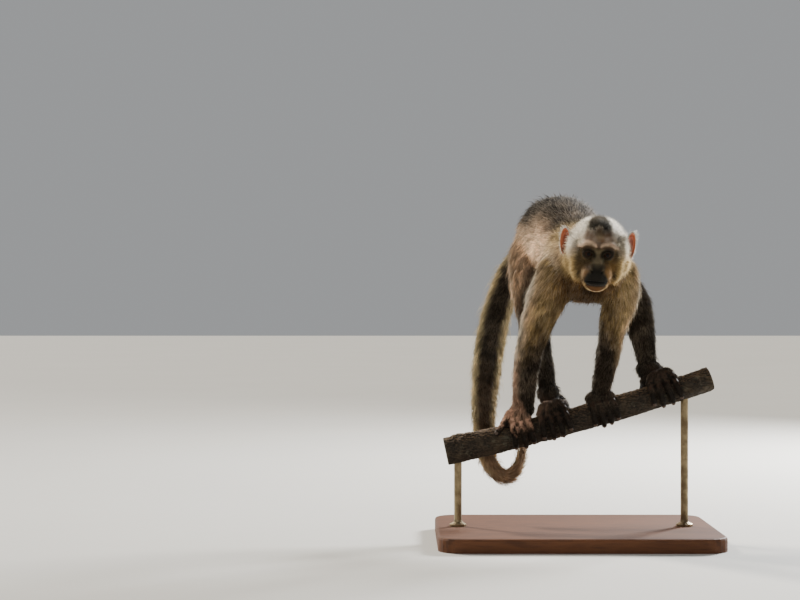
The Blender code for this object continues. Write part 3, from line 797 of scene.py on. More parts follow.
def whereOn(points, normals):                # everything the coat and the colours need to know
    count = len(points)
    told = {key: np.zeros(count) for key in ("length", "share", "angle", "up", "ahead", "aside", "thick")}
    told["weights"] = np.zeros((count, len(groups)))
    told["mixing"] = np.zeros((count, len(groups)))      # softer weights, for the colours
    told["shares"] = np.ones((count, len(groups)))       # how far along each group's line
    told["flow"] = np.zeros((count, 3))
    told["group"] = np.zeros(count, int)
    told["q"] = inHead(points)
    placeSquare = (samples["place"] ** 2).sum(1)
    soft = np.array([0.0045 if name in rig or name == "head" else 0.0016 for name in groups])
    for start in range(0, count, 8000):
        rows = slice(start, min(start + 8000, count))
        p, q = points[rows], told["q"][rows]
        far = np.sqrt(np.maximum((p ** 2).sum(1)[:, None] + placeSquare - 2 * p @ samples["place"].T, 0))
        far -= samples["radius"]
        reach = np.empty((len(p), len(groups)))
        nearest = np.zeros((len(p), len(groups)), int)
        for g in range(headIndex):
            piece = far[:, sampleStarts[g]:sampleStarts[g + 1]]
            nearest[:, g] = piece.argmin(1) + sampleStarts[g]
            reach[:, g] = piece.min(1)
        reach[:, headIndex] = headReach(q) * 0.001 - 0.0045
        weights = np.exp(-(reach - reach.min(1)[:, None]) / soft)
        weights[weights < 0.02] = 0
        weights /= weights.sum(1)[:, None]
        told["weights"][rows] = weights
        group = reach.argmin(1)
        mixing = np.maximum(np.exp(-(reach - reach.min(1)[:, None]) / (soft * 2.4)) - 0.12, 0)
        mixing = np.where((group == headIndex)[:, None], weights, mixing / mixing.sum(1)[:, None])
        told["mixing"][rows] = mixing
        told["group"][rows] = group
        headLength, thick, _, _ = headCoat(q)
        headFlow = q - np.array((0.0, 34.0, -10.0))
        headFlow[:, 2] += 4.0 * ramp01(q[:, 2], 0, 10) * ramp01(q[:, 1], 15, 30)
        flow = unit(headFlow) @ np.array(toModel)[:3, :3].T * 1000 * weights[:, headIndex:]
        length = headLength * 0.001 * weights[:, headIndex]
        for g in range(headIndex):
            flow += samples["flow"][nearest[:, g]] * weights[:, g:g + 1]
            length += samples["length"][nearest[:, g]] * weights[:, g]
            told["shares"][rows, g] = samples["share"][nearest[:, g]]
        told["flow"][rows] = flow
        told["length"][rows] = length
        told["thick"][rows] = 1 + (thick - 1) * weights[:, headIndex]
        own = nearest[np.arange(len(p)), np.minimum(group, headIndex - 1)]
        told["share"][rows] = samples["share"][own]
        radial = unit(p - samples["place"][own])
        told["up"][rows] = radial[:, 2]
        told["ahead"][rows] = -radial[:, 1]
        told["aside"][rows] = radial[:, 0]
        tangent = samples["tangent"][own]
        side = unit(np.cross(tangent, np.array((0.3, 0.2, 1.0)) - tangent * 0.2))
        other = np.cross(tangent, side)
        told["angle"][rows] = (np.arctan2((radial * side).sum(1), (radial * other).sum(1)) / (2 * math.pi)
                               + 0.5)
    onHead = told["group"] == headIndex
    q = told["q"][onHead]
    told["angle"][onHead] = np.arctan2(q[:, 0], q[:, 1]) / (2 * math.pi) + 0.5
    told["share"][onHead] = np.arccos(np.clip(unit(q + np.array((0, 0, 8)))[:, 2], -1, 1)) / math.pi
    flow = told["flow"]
    flow -= normals * (flow * normals).sum(1)[:, None]
    told["flow"] = unit(flow)
    return told


# Colours of the coat and skin, as screen colours, and where each lies. Some of them are painted light and
# shade: pale rims, a sunlit right arm and hand, and shaded chest, belly, face and throat.

palette = {name: np.array(rgb(*colour)) for name, colour in {
    "back": (58, 50, 42), "rump": (40, 37, 34), "flank": (240, 208, 176), "belly": (116, 84, 46),
    "shoulder": (184, 160, 114), "chest": (84, 60, 30), "forearm": (38, 30, 24), "thigh": (84, 62, 44),
    "hip": (214, 176, 136),
    "shank": (42, 34, 27), "tailOver": (48, 40, 32), "tailUnder": (234, 216, 172),
    "tailEnd": (200, 162, 128), "hand": (30, 26, 22),
    "knuckle": (226, 180, 152), "cap": (30, 27, 20), "crownSide": (238, 232, 220), "cheek": (204, 176, 122),
    "forehead": (98, 70, 46), "temple": (172, 156, 126), "ochre": (156, 120, 68),
    "muzzleSide": (122, 92, 60), "browLine": (224, 196, 168), "eyeRound": (42, 31, 25),
    "bridge": (98, 89, 69),
    "muzzle": (27, 25, 20), "fold": (216, 186, 148), "chin": (92, 64, 38), "throat": (150, 114, 66),
    "mask": (66, 52, 37), "jowl": (102, 78, 48), "frost": (206, 190, 168), "white": (236, 230, 216),
    "lip": (12, 10, 9),
    "lidEdge": (12, 10, 9), "armInner": (102, 82, 48), "underChin": (84, 56, 30),
}.items()}
throatShade = {"place": np.array((-0.014, -0.088, 0.336)), "reach": 0.030, "share": 0.85}
freckle = {"large": 0.030, "middle": 0.011, "small": 0.004}


def blend(first, second, share):
    return first + (second - first) * np.clip(share, 0, 1)[:, None]


def lay(colour, name, share):                # a colour of the palette over another
    return blend(colour, palette[name], share)


def allOver(name, points):
    return np.tile(palette[name], (len(points), 1))


def headColours(q):
    ax, y, z = np.abs(q[:, 0]), q[:, 1], q[:, 2]
    uneven = wander(q, 5.0)
    colour = allOver("crownSide", q)
    colour = lay(colour, "cheek", ramp01(-z, -4, 17))
    colour = lay(colour, "throat", ramp01(-z, 30, 46) * (1 - ramp01(y, 20, 32)))
    capEdge = 6.0 + 0.25 * np.maximum(y + 18, 0) + 0.40 * np.maximum(-18 - y, 0) + 0.8 * uneven
    capFront = 19.5 - 26 * ramp01(-y, -4, 42) + 3.5 * bell(ax, 4.0) + 0.06 * ax ** 1.3 + 0.8 * uneven
    cap = 1 - ramp01(ax + 1.5 * wander(q, 2.2), capEdge - 3, capEdge + 5)
    cap *= ramp01(z + 0.8 * wander(q + 9, 2.0), capFront - 2.5, capFront + 3.5)
    colour = lay(colour, "back", ramp01(-y, 28, 46) * 0.7 * (1 - ramp01(ax, 18, 30)))
    colour = lay(colour, "cap", cap)
    ahead = ramp01(y, 10, 20)
    colour = lay(colour, "temple", bell(ax - 24, 8) * bell(z - 10, 9) * ahead * 0.75)
    # Painted shade: on the animal's left side only, the temple and the side of the head are toned darker.
    colour = lay(colour, "temple", ramp01(q[:, 0], 16, 28) * bell(z - 4, 12) * 0.5)
    colour = lay(colour, "temple", bell(ax, 10) * bell(z - 21, 6) * ahead * (1 - cap) * 0.9)
    foreheadOval = 1 - ramp01(np.hypot(ax / 21, (z - 14) / 14), 0.70, 1.10)
    colour = lay(colour, "forehead", foreheadOval * ahead * (1 - cap) * (0.88 + 0.2 * uneven))
    colour = lay(colour, "temple", bell(ax, 4.5) * bell(z - 18, 4.5) * ahead * 0.5)
    maskWide = 24.5 - 5.5 * ramp01(-z, 16, 38) + 0.8 * uneven
    maskTop = browAt(ax) - 1.6
    maskShape = ((1 - ramp01(ax, maskWide - 3.5, maskWide + 1.5))
                 * (1 - ramp01(z, maskTop - 1, maskTop + 1)) * ramp01(z, -43, -38))
    # The bare face is painted dark brown: the skin's own brown, darkened further as painted shade.
    colour = lay(colour, "mask", maskShape * ahead)
    colour = lay(colour, "jowl", maskShape * ahead * ramp01(-z, 12, 22) * ramp01(ax, 10, 17) * 0.8)
    # Painted shade: on the animal's left side only, the lower face is toned darker ochre.
    colour = lay(colour, "ochre", maskShape * ahead * ramp01(-z, 8, 20) * ramp01(q[:, 0], 7, 14) * 0.6)
    eyeShape = 1 - ramp01(np.hypot((ax - 11.6) / 11.5, (z + 4.0) / 9.5), 0.62, 1.10)
    bridgeShape = (1 - ramp01(ax, 6.5, 10.5)) * (1 - ramp01(z, 0, 5)) * ramp01(z, -40, -34)
    ring = ringFar(ax, z)
    muzzleWide = 6.8 + 8.6 * ramp01(-z, 18, 35)
    muzzleShape = ((1 - ramp01(ring, 0.82, 0.94))
                   * (1 - ramp01(ax + 0.7 * uneven, muzzleWide - 3, muzzleWide + 3.5)))
    muzzleShape *= 1 - 0.6 * ramp01(z, -22, -10)
    colour = lay(colour, "muzzleSide", (1 - ramp01(ring, 0.96, 1.08)) * ramp01(-z, 18, 26) * ahead
                   * ramp01(ax, muzzleWide - 1, muzzleWide + 4) * 0.7)
    colour = lay(colour, "eyeRound", eyeShape * ahead)
    colour = lay(colour, "bridge", bridgeShape * ahead)
    colour = lay(colour, "chin", (1 - ramp01(ring, 0.9, 1.0)) * ramp01(-z, 40, 43) * ahead)
    colour = lay(colour, "muzzle", muzzleShape * ahead * (1 - ramp01(-z, 41.5, 44)))
    eyeFar = np.hypot(ax - eye["place"][0], (z - eye["place"][2]) * 1.25)
    colour = lay(colour, "lidEdge", (1 - ramp01(eyeFar, 6.6, 10.6)) * ahead)
    browShape = bell(z - browAt(ax) - 0.4 * uneven, 2.3) * (1 - ramp01(ax, 26, 30)) * ramp01(ax, 1, 4)
    colour = lay(colour, "browLine", browShape * ahead * 0.95)
    colour = lay(colour, "lidEdge", bell(ax - foldAt(z) - 3.0, 1.2) * bell(z + 29, 5.5) * ahead * 0.95)
    foldShape = bell((ring - 1) * 17, 0.75 + 0.95 * ramp01(z, -38, -29)) * (1 - 0.85 * ramp01(z, -25, -19))
    foldShape *= (1 - ramp01(z, -15, -12)) * (0.72 + 0.5 * wander(q + 30, 3.2))
    colour = lay(colour, "fold", foldShape * ramp01(y, 4, 12) * 0.9)
    colour = lay(colour, "lip", bell(z - mouthAt(ax), 1.2) * (1 - ramp01(ax, 13, 16.5)) * ahead)
    # Painted shade: dark brown under the chin.
    colour = lay(colour, "underChin",
                 ramp01(ring, 1.06, 1.16) * ramp01(-z, 42, 48) * (1 - ramp01(ax, 14, 22)))
    return colour


def colourAt(points, told, frosted):         # frosted colours are those of the hairs' tips, with painted rim light on the limbs, hands, feet and tail
    big, middle, small = (wander(points + 3, freckle[key]) for key in ("large", "middle", "small"))
    up, ahead, aside = told["up"], told["ahead"], told["aside"]
    weights, mixing = told["weights"], told["mixing"]
    q = told["q"]
    total = np.zeros((len(points), 3))
    for g, name in enumerate(groups):
        share = told["shares"][:, g]
        if name == "head":
            colour = headColours(q)
        elif name == "trunk":
            colour = lay(allOver("flank", points), "back", ramp01(up, 0.35, 0.85))
            colour = lay(colour, "rump",
                         ramp01(up + 0.2 * middle, -0.10, 0.60) * ramp01(points[:, 1], 0.0, 0.08))
            colour = lay(colour, "shoulder",
                         ramp01(-points[:, 1], 0.015, 0.065) * (1 - 0.45 * ramp01(up, 0.75, 1)))
            colour = lay(colour, "flank",
                         ramp01(-points[:, 1], 0.03, 0.08) * ramp01(np.abs(aside), 0.6, 1.0)
                           * ramp01(up, -0.3, 0.2) * 0.6)
            # The underside and the chest are painted dark golden brown: the coat's golden tone with painted
            # shade.
            colour = lay(colour, "belly", ramp01(-up, 0.2, 0.7))
            colour = lay(colour, "chest", ramp01(-up, 0.0, 0.5) * ramp01(-points[:, 1], 0.02, 0.08))
        elif name.startswith("arm"):
            outside = aside * (-1 if name == "armRight" else 1)
            along = share + 0.08 * big + 0.06 * small + 0.08 * ahead - 0.13 * outside
            colour = lay(allOver("shoulder", points), "armInner",
                           ramp01(along - 0.25 * outside, 0.05, 0.5) * 0.7)
            # The arm's outer side is paler: cream coat, with a white edge that is painted rim light.
            colour = lay(colour, "flank", ramp01(outside + 0.15 * small, 0.35, 0.95) * 0.55)
            colour = lay(colour, "white", ramp01(outside + 0.06 * small, 0.72, 1.0) * 0.8)
            colour = lay(colour, "forearm", ramp01(along, 0.40, 0.72))
            # Painted sunlight on the right arm: its outer side toward the wrist gets pale tips and pink lit
            # colour, the left arm almost none, and only the left wrist takes the dark hand colour.
            colour = lay(colour, "frost",
                         ramp01(outside + 0.08 * small, 0.30, 0.90) * ramp01(share, 0.3, 0.5)
                           * (0.55 if name == "armRight" else 0.05))
            colour = lay(colour, "knuckle", ramp01(outside + 0.8 * ramp01(share, 0.86, 0.97), 0.45, 0.95)
                           * ramp01(share, 0.5, 0.8) * (0.70 if name == "armRight" else 0.08))
            colour = lay(colour, "hand", ramp01(share, 0.85, 1.0) * (0.0 if name == "armRight" else 0.6))
        elif name.startswith("leg"):
            outside = aside * (-1 if name == "legRight" else 1)
            along = share + 0.08 * big + 0.05 * middle + 0.10 * ahead - 0.14 * outside
            colour = lay(allOver("flank", points), "thigh", ramp01(along, 0.20, 0.38))
            colour = lay(colour, "hip",
                         ramp01(outside + 0.2 * small, 0.50, 0.9) * (1 - ramp01(share, 0.30, 0.60)) * 0.75)
            colour = lay(colour, "shank", ramp01(along, 0.32, 0.58))
            colour = lay(colour, "hand", ramp01(share, 0.8, 1.0) * 0.8)
        elif name == "tail":
            # The tail's sides are painted pale: painted rim light, where light comes through the coat at
            # its edges.
            edge = ramp01(np.abs(aside) + 0.05 * middle + 0.08 * small, 0.40, 0.95)
            colour = lay(allOver("tailOver", points), "tailUnder", edge)
            colour = lay(colour, "tailEnd",
                         ramp01(share, 0.40, 0.68) * 0.15 + ramp01(share, 0.70, 0.80) * 0.55)
        else:
            colour = allOver("hand", points)
            # Painted light and shade: the right hand's upward-facing skin is painted pale pink as sunlit,
            # fading to dark toward the fingers' ends as painted shade; the other hands and feet get almost
            # none.
            paintedLightOnHand = (1.0 if name == "handRight" else 0.06) * (1 - 0.8 * ramp01(share, 0.5, 0.75))
            colour = lay(colour, "knuckle", ramp01(up + 0.6 * small, 0.05, 0.75) * paintedLightOnHand)
        total += colour * mixing[:, g:g + 1]
    onBody = 1 - weights[:, headIndex]
    throatFar = np.linalg.norm(points - throatShade["place"], axis=1)
    total = lay(total, "chest", throatShade["share"] * onBody * bell(throatFar, throatShade["reach"]))
    reddish = np.array((1.05, 0.98, 0.92))
    total *= 1 + (reddish - 1) * (np.clip(big * 1.4, 0, 1) * onBody)[:, None]
    total *= (1 + 0.24 * middle * onBody + 0.14 * small)[:, None]
    if frosted:
        onHair = 1 - headCoat(q)[3] * weights[:, headIndex]
        handShare = weights[:, [groups.index(n) for n in groups if n[:4] in ("hand", "foot")]].sum(1)
        pale = (0.26 + 0.20 * middle) * onHair * (1 - 0.75 * handShare) * (1 - 0.92 * weights[:, headIndex])
        pale *= 1 - 0.6 * weights[:, 0] * ramp01(up, 0.2, 0.7)
        total = lay(total, "frost", pale)
        # Painted rim light: the limbs' side edges get white tips.
        limbs = mixing[:, [groups.index(n) for n in groups if n[:3] in ("arm", "leg")]].sum(1)
        total = lay(total, "white", 0.62 * limbs * ramp01(np.abs(aside) + 0.1 * small, 0.84, 1.0))
        # Painted rim light: pale tips on the backs and tops of the hands and feet.
        total = lay(total, "frost", 0.65 * handShare * ramp01(-ahead, -0.2, 0.4) * ramp01(up, 0.0, 0.5))
        # Painted rim light: pale tips along the tail's sides.
        total = lay(total, "tailUnder", 0.75 * mixing[:, groups.index("tail")]
                      * ramp01(np.abs(aside) + 0.10 * small, 0.5, 1.0))
    return np.clip(total, 0.002, 0.92)


skinPoints, skinNormals = pointsOf(skin.data), normalsOf(skin.data)
skinTold = whereOn(skinPoints, skinNormals)
keepColours(skin.data, colourAt(skinPoints, skinTold, False))
say("markings")


# The coat: thin closed locks that taper to a point, rooted over the whole skin.

locks = {
    "bent": {"trunk": 14500, "arm": 3600, "leg": 3800, "tail": 6500, "hand": 500, "foot": 600,
             "head": 5000},
    "straight": {"trunk": 61000, "arm": 16000, "leg": 17000, "tail": 28000, "hand": 6800, "foot": 7400,
                 "head": 62000},
    "sunk": 0.0004, "sway": 0.20, "stray": 0.10, "curl": 0.13, "patch": 0.003, "facesEach": 185000,
    "long": {"share": 0.12, "length": 1.35, "lift": 1.5, "width": 0.6}, "straightWidth": 0.74,
    "contrast": {"trunk": 0.75, "arm": 0.85, "leg": 0.7, "tail": 0.5, "hand": 0.35, "foot": 0.3,
                 "head": 0.24},
    "finest": {"trunk": 0.00105, "arm": 0.00095, "leg": 0.00100, "tail": 0.00105, "hand": 0.00062,
               "foot": 0.00066,
               "head": 0.00072},
}
bentFaces = np.array([(2, 1, 0), (0, 1, 4), (0, 4, 3), (1, 2, 5), (1, 5, 4), (2, 0, 3), (2, 3, 5),
                      (3, 4, 6), (4, 5, 6), (5, 3, 6)])
bentPatch = np.array([                       # each side of a lock has its own strip of the patch
    [(0.0, 0.0), (0.5, 0.06), (1.0, 0.0)],
    [(0.0, 0.1), (0.3, 0.1), (0.3, 0.6)], [(0.0, 0.1), (0.3, 0.6), (0.0, 0.6)],
    [(0.35, 0.1), (0.65, 0.1), (0.65, 0.6)], [(0.35, 0.1), (0.65, 0.6), (0.35, 0.6)],
    [(0.7, 0.1), (1.0, 0.1), (0.7, 0.6)], [(0.7, 0.6), (1.0, 0.1), (1.0, 0.6)],
    [(0.0, 0.6), (0.3, 0.6), (0.15, 1.0)], [(0.35, 0.6), (0.65, 0.6), (0.5, 1.0)],
    [(0.7, 0.6), (1.0, 0.6), (0.85, 1.0)],
])
straightFaces = np.array([(2, 1, 0), (0, 1, 3), (1, 2, 3), (2, 0, 3)])
straightPatch = np.array([
    [(0.0, 0.0), (0.5, 0.06), (1.0, 0.0)],
    [(0.0, 0.1), (0.3, 0.1), (0.15, 1.0)], [(0.35, 0.1), (0.65, 0.1), (0.5, 1.0)],
    [(0.7, 0.1), (1.0, 0.1), (0.85, 1.0)],
])


def makeLocks(name, roots, normals, flow, lengths, widths, lifts, colours, tips, chart, bent):
    count = len(roots)
    side = np.cross(normals, flow)
    bend = locks["curl"] * chance.standard_normal((count, 1))
    lean = np.where(bent, lifts, lifts * 0.58)[:, None]
    first = unit(flow + side * bend * 0.5) * np.cos(lean) + normals * np.sin(lean)
    laid = np.where(bent, lifts * 0.25, lifts * 0.58)[:, None]
    second = (unit(flow + side * bend * np.where(bent, -1, 0.5)[:, None]) * np.cos(laid)
              + normals * np.sin(laid))
    start = roots - normals * locks["sunk"]
    middle = start + first * (lengths * 0.5)[:, None]
    rings = np.empty((count, 7, 3))
    for ring, (centre, share) in enumerate(((start, 1.0), (middle, 0.85))):
        half = (widths * 0.5 * share)[:, None]
        rings[:, ring * 3] = centre + side * half
        rings[:, ring * 3 + 1] = centre - side * half
        rings[:, ring * 3 + 2] = centre + normals * half * 0.9
    rings[:, 6] = middle + second * (lengths * 0.5)[:, None]
    shade = np.empty((count, 7, 3))
    # Each lock's root is painted 30% darker: painted shade deep in the coat.
    shade[:, :3] = colours[:, None] * 0.70
    shade[:, 3:6] = colours[:, None]
    shade[:, 6] = tips
    points, faces, corners, paint, used = [], [], [], [], 0
    for rows, kept, pattern, patch in ((bent, slice(0, 7), bentFaces, bentPatch),
                                       (~bent, (0, 1, 2, 6), straightFaces, straightPatch)):
        some = rings[rows][:, kept]
        points.append(some.reshape(-1, 3))
        paint.append(shade[rows][:, kept].reshape(-1, 3))
        firsts = used + some.shape[1] * np.arange(len(some))
        faces.append((pattern[None] + firsts[:, None, None]).reshape(-1, 3))
        corners.append((chart[rows][:, None, None, :] + patch[None] * locks["patch"]).reshape(-1, 2))
        used += len(points[-1])
    return meshFromArrays(name, np.concatenate(points), np.concatenate(faces), np.concatenate(corners),
                          np.concatenate(paint))


def growCoat():
    mesh = skin.data
    mesh.calc_loop_triangles()
    triangles = np.empty(len(mesh.loop_triangles) * 3, np.int32)
    mesh.loop_triangles.foreach_get("vertices", triangles)
    triangles = triangles.reshape(-1, 3)
    edgeA = skinPoints[triangles[:, 1]] - skinPoints[triangles[:, 0]]
    edgeB = skinPoints[triangles[:, 2]] - skinPoints[triangles[:, 0]]
    area = np.linalg.norm(np.cross(edgeA, edgeB), axis=1) / 2
    kinds = np.array([kindOf(name) for name in groups])
    group = skinTold["group"][triangles[:, 0]]
    thick = skinTold["thick"][triangles].mean(1)
    middleOf = skinPoints[triangles].mean(1)
    onHand = np.isin(kinds[group], ("hand", "foot"))
    axis = np.stack([middleOf[:, 0], 0 * middleOf[:, 0], perchHeight(middleOf[:, 0])], axis=1)
    outward = unit((middleOf - axis) * np.array((0, 1, 1)))
    facing = (skinNormals[triangles[:, 0]] * outward).sum(1)
    thick = np.where(onHand, thick * ramp01(facing, -0.2, 0.35), thick)
    chosen, bent = [], []
    for kind in dict.fromkeys(kinds):
        mine = np.flatnonzero(kinds[group] == kind)
        share = area[mine] * thick[mine]
        both = 1 if kind in ("trunk", "tail", "head") else 2
        wanted = [locks[shape][kind] * both for shape in ("bent", "straight")]
        chosen.append(chance.choice(mine, sum(wanted), p=share / share.sum()))
        bent.append(np.arange(sum(wanted)) < wanted[0])
    chosen, bent = np.concatenate(chosen), np.concatenate(bent)
    a, b = chance.random(len(chosen)), chance.random(len(chosen))
    a, b = np.where(a + b > 1, 1 - a, a), np.where(a + b > 1, 1 - b, b)
    share = np.stack([1 - a - b, a, b], axis=1)[:, :, None]
    roots = (skinPoints[triangles[chosen]] * share).sum(1)
    normals = unit((skinNormals[triangles[chosen]] * share).sum(1))
    told = whereOn(roots, normals)
    count = len(roots)
    kind = kinds[told["group"]]
    clump = np.stack([wander(roots + 7 * i, 0.011) for i in range(3)], axis=1)
    flow = told["flow"] + locks["sway"] * clump + locks["stray"] * chance.standard_normal((count, 3))
    flow = unit(flow - normals * (flow * normals).sum(1)[:, None])
    lengths = told["length"] * (0.72 + 0.5 * chance.random(count)) * (1 + 0.15 * wander(roots + 5, 0.012))
    depth = np.zeros(count)
    for g, name in enumerate(groups):
        if name != "head":
            base, part = coat[kindOf(name)]["depth"]
            depth += told["weights"][:, g] * (base + part * samples["radius"][sampleStarts[g]])
    headDepth = 0.0009 + 0.0035 * ramp01(told["length"] * 1000, 2.5, 9)
    depth += told["weights"][:, headIndex] * headDepth
    lifts = (np.arcsin(np.clip(1.15 * depth / told["length"], 0.06, 0.62))
             * (0.75 + 0.6 * chance.random(count)))
    widths = np.array([locks["finest"][name] for name in kind]) * (0.75 + 0.5 * chance.random(count))
    shortness = np.clip(lengths / 0.006, 0.35, 1)
    widths = np.where(kind == "head", widths * shortness, widths)
    crest = told["weights"][:, 0] * ramp01(told["up"], 0.55, 0.95) * bell(roots[:, 1] - 0.085, 0.06)
    lengths *= 1 + 0.25 * crest
    lifts += 0.22 * crest * chance.random(count)
    stray = ((chance.random(count) < locks["long"]["share"]) & ~np.isin(kind, ("hand", "foot"))
             & (told["length"] > 0.006))
    lengths[stray] *= locks["long"]["length"]
    lifts[stray] *= locks["long"]["lift"]
    widths[stray] *= locks["long"]["width"]
    widths[~bent] *= locks["straightWidth"]
    combed = roots - told["flow"] * ((roots * told["flow"]).sum(1) * 0.8)[:, None]
    contrast = np.array([locks["contrast"][name] for name in kind])
    streak = (contrast * (wander(combed + 11, 0.0062) + 0.4 * wander(roots + 3, 0.006)
                          + 0.3 * wander(combed, 0.003)))
    lightness = (0.70 + 0.60 * chance.random(count))[:, None] * np.clip(1 + streak, 0.3, 2.0)[:, None]
    colours = colourAt(roots, told, False) * lightness
    tips = colourAt(roots, told, True) * lightness
    chart = np.stack([told["angle"], told["share"]], axis=1) * 0.99 + 0.003
    pieces = []
    names = np.array([{"hand": "arm", "foot": "leg"}.get(kindOf(name), kindOf(name))
                      + name.replace(kindOf(name), "")
                      for name in groups])[told["group"]]
    handRows = np.isin(kind, ("hand", "foot"))
    chart[handRows, 1] = chart[handRows, 1] * 0.2 + 0.79
    chart[~handRows & np.isin(kind, ("arm", "leg")), 1] *= 0.78
    for name in dict.fromkeys(names):
        mine = np.flatnonzero(names == name)
        parts = math.ceil((10 * bent[mine].sum() + 4 * (~bent[mine]).sum()) / locks["facesEach"])
        order = mine[np.argsort(chart[mine, 1], kind="stable")]
        for i, rows in enumerate(np.array_split(order, parts)):
            label = "coat_" + name + (f"_{i + 1}" if parts > 1 else "")
            piece = makeLocks(label, roots[rows], normals[rows], flow[rows], lengths[rows], widths[rows],
                              lifts[rows], colours[rows], tips[rows], chart[rows], bent[rows])
            pieces.append(piece)
    return pieces


coatPieces = growCoat()
say(f"coat in {len(coatPieces)} pieces, {sum(len(piece.data.polygons) for piece in coatPieces)} faces")


# Eyes: a glossy ball with a slight cornea, a dark brown iris and a round pupil.

def makeEye(side):
    rings, sides = eye["rings"], eye["sides"]
    rows = []
    for i in range(rings + 1):
        polar = math.pi * i / rings
        flat = eye["radius"] * (1 + 0.045 * math.exp(-(polar / 0.55) ** 2))
        for j in range(sides):
            turn = 2 * math.pi * j / sides
            rows.append((flat * math.sin(polar) * math.cos(turn), flat * math.cos(polar),
                         flat * math.sin(polar) * math.sin(turn)))
    points = np.array(rows)
    faces = []
    for i in range(rings):
        for j in range(sides):
            a, b = i * sides + j, i * sides + (j + 1) % sides
            faces += [(a, b, b + sides), (a, b + sides, a + sides)]
    faces = np.array(faces)
    kept = [len({tuple(np.round(points[k], 5)) for k in face}) == 3 for face in faces]
    away = np.hypot(points[:, 0], points[:, 2])
    turn = np.arctan2(points[:, 2], points[:, 0])
    threads = 0.5 + 0.5 * np.sin(turn * 23 + 2.0 * np.sin(turn * 7))
    iris = np.array(rgb(*eye["colours"]["iris"]))[None] * (0.7 + 0.6 * threads[:, None])
    edge = np.array(rgb(*eye["colours"]["edge"]))
    iris = blend(iris, edge, ramp01(away, eye["iris"] - 1.9, eye["iris"] - 0.2))
    white = np.tile(np.array(rgb(*eye["colours"]["white"])), (len(points), 1))
    colour = blend(iris, white, ramp01(away, eye["iris"] - 0.2, eye["iris"] + 0.4))
    colour = blend(colour, white, (points[:, 1] < 0).astype(float))
    colour *= (0.04 + 0.96 * ramp01(away, eye["pupil"] - 0.2, eye["pupil"] + 0.3)
               + (points[:, 1] < 0))[:, None].clip(0, 1)
    local = Matrix.Translation((side * eye["place"][0], eye["place"][1], eye["place"][2]))
    gaze = Matrix.Rotation(-side * 0.04, 4, "Z")
    place = np.array(toModel @ local @ gaze)
    points = points @ place[:3, :3].T + place[:3, 3]
    obj = meshFromArrays("eyeball_" + ("left" if side > 0 else "right"), points, faces[kept][:, ::-1], None,
                         colour)
    return mended(obj, 1e-6)


# Ears: a thin cup with a rolled rim, an inner fold and a notch, and a pale fringe behind.

def earMatrix(side):
    x, y, z = ear["place"]
    turn = Matrix.Rotation(math.radians(side * ear["turn"]), 4, "Z")
    return toModel @ Matrix.Translation((side * x, y, z)) @ turn


def makeEar(side):
    rings, sides, deep = ear["rings"], ear["sides"], ear["bowl"]
    thick, wide, tall = ear["half"]
    sheet = []
    for front in (False, True):
        for i in range(rings + 1):
            r = i / rings
            for j in range(sides):
                turn = 2 * math.pi * j / sides
                cosine, sine = math.cos(turn), math.sin(turn)
                notch = 1 - 0.05 * math.exp(-((turn - 5.1) / 0.3) ** 2)
                y, z = wide * r * cosine * notch, tall * r * sine * notch
                bowl = -thick * math.sqrt(max(0.0, 1 - (r * 0.98) ** 2))
                if front:
                    behind = ramp01(np.array([-cosine * 0.7 + sine * 0.5]), -0.4, 0.4)[0]
                    roll = 1.5 * math.exp(-((r - 0.93) / 0.06) ** 2)
                    fold = 1.4 * behind * math.exp(-((r - 0.66) / 0.10) ** 2)
                    groove = -0.3 * math.exp(-((r - 0.81) / 0.05) ** 2)
                    flap = 1.8 * math.exp(-((y - 5.5) / 2.2) ** 2 - ((z + 3.5) / 3.0) ** 2)
                    x = bowl + deep * (1 - 0.45 * r) + roll + fold + groove + flap
                else:
                    x = bowl - 0.25 * (1 - r)
                sheet.append((x, y, z))
    points = np.array(sheet)
    half = (rings + 1) * sides
    faces = []
    for base, flip in ((0, False), (half, True)):
        for i in range(rings):
            for j in range(sides):
                a, b = base + i * sides + j, base + i * sides + (j + 1) % sides
                pair = [(a, b, b + sides), (a, b + sides, a + sides)]
                faces += [face[::-1] if flip else face for face in pair]
    for j in range(sides):                   # the rim joins the two sides
        a, b = rings * sides + j, rings * sides + (j + 1) % sides
        faces += [(a, b, b + half), (a, b + half, a + half)]
    faces = np.array(faces)
    reach = np.hypot(points[:, 1] / wide, points[:, 2] / tall)
    inside = np.arange(len(points)) >= half
    patchy = wander(points + 9, 3.0)
    hue = {name: np.array(rgb(*values)) for name, values in ear["colours"].items()}
    # The ear is pink skin painted orange-red as if lit through from behind, partly painted light; the cup's
    # middle is painted darker as painted shade.
    colour = np.tile(hue["skin"], (len(points), 1))
    colour = blend(colour, hue["hollow"], (bell(reach - 0.35, 0.35) + 0.3 * patchy) * inside)
    colour = blend(colour, hue["low"], ramp01(-points[:, 2] / tall + 0.3 * patchy, 0.35, 0.85) * 0.9)
    colour = blend(colour, hue["rim"], bell(reach - 0.95, 0.06) * (0.5 + 0.5 * patchy))
    colour = blend(colour, hue["behind"], (~inside).astype(float) * 0.8)
    colour *= (1 + 0.12 * wander(points + 9, 2.5))[:, None]
    points[:, 0] *= side
    points = points + 0.10 * wander(points, 1.7)[:, None] * np.array((side, 0, 0))
    if side < 0:
        faces = faces[:, ::-1]
    place = np.array(earMatrix(side))
    points = points @ place[:3, :3].T + place[:3, 3]
    obj = meshFromArrays("ear_shell_" + ("left" if side > 0 else "right"), points, faces, None, colour)
    return mended(obj, 2e-5)


fringe = {"count": 2000, "length": 0.0056, "width": 0.00040, "from": 5.0, "to": 290.0}


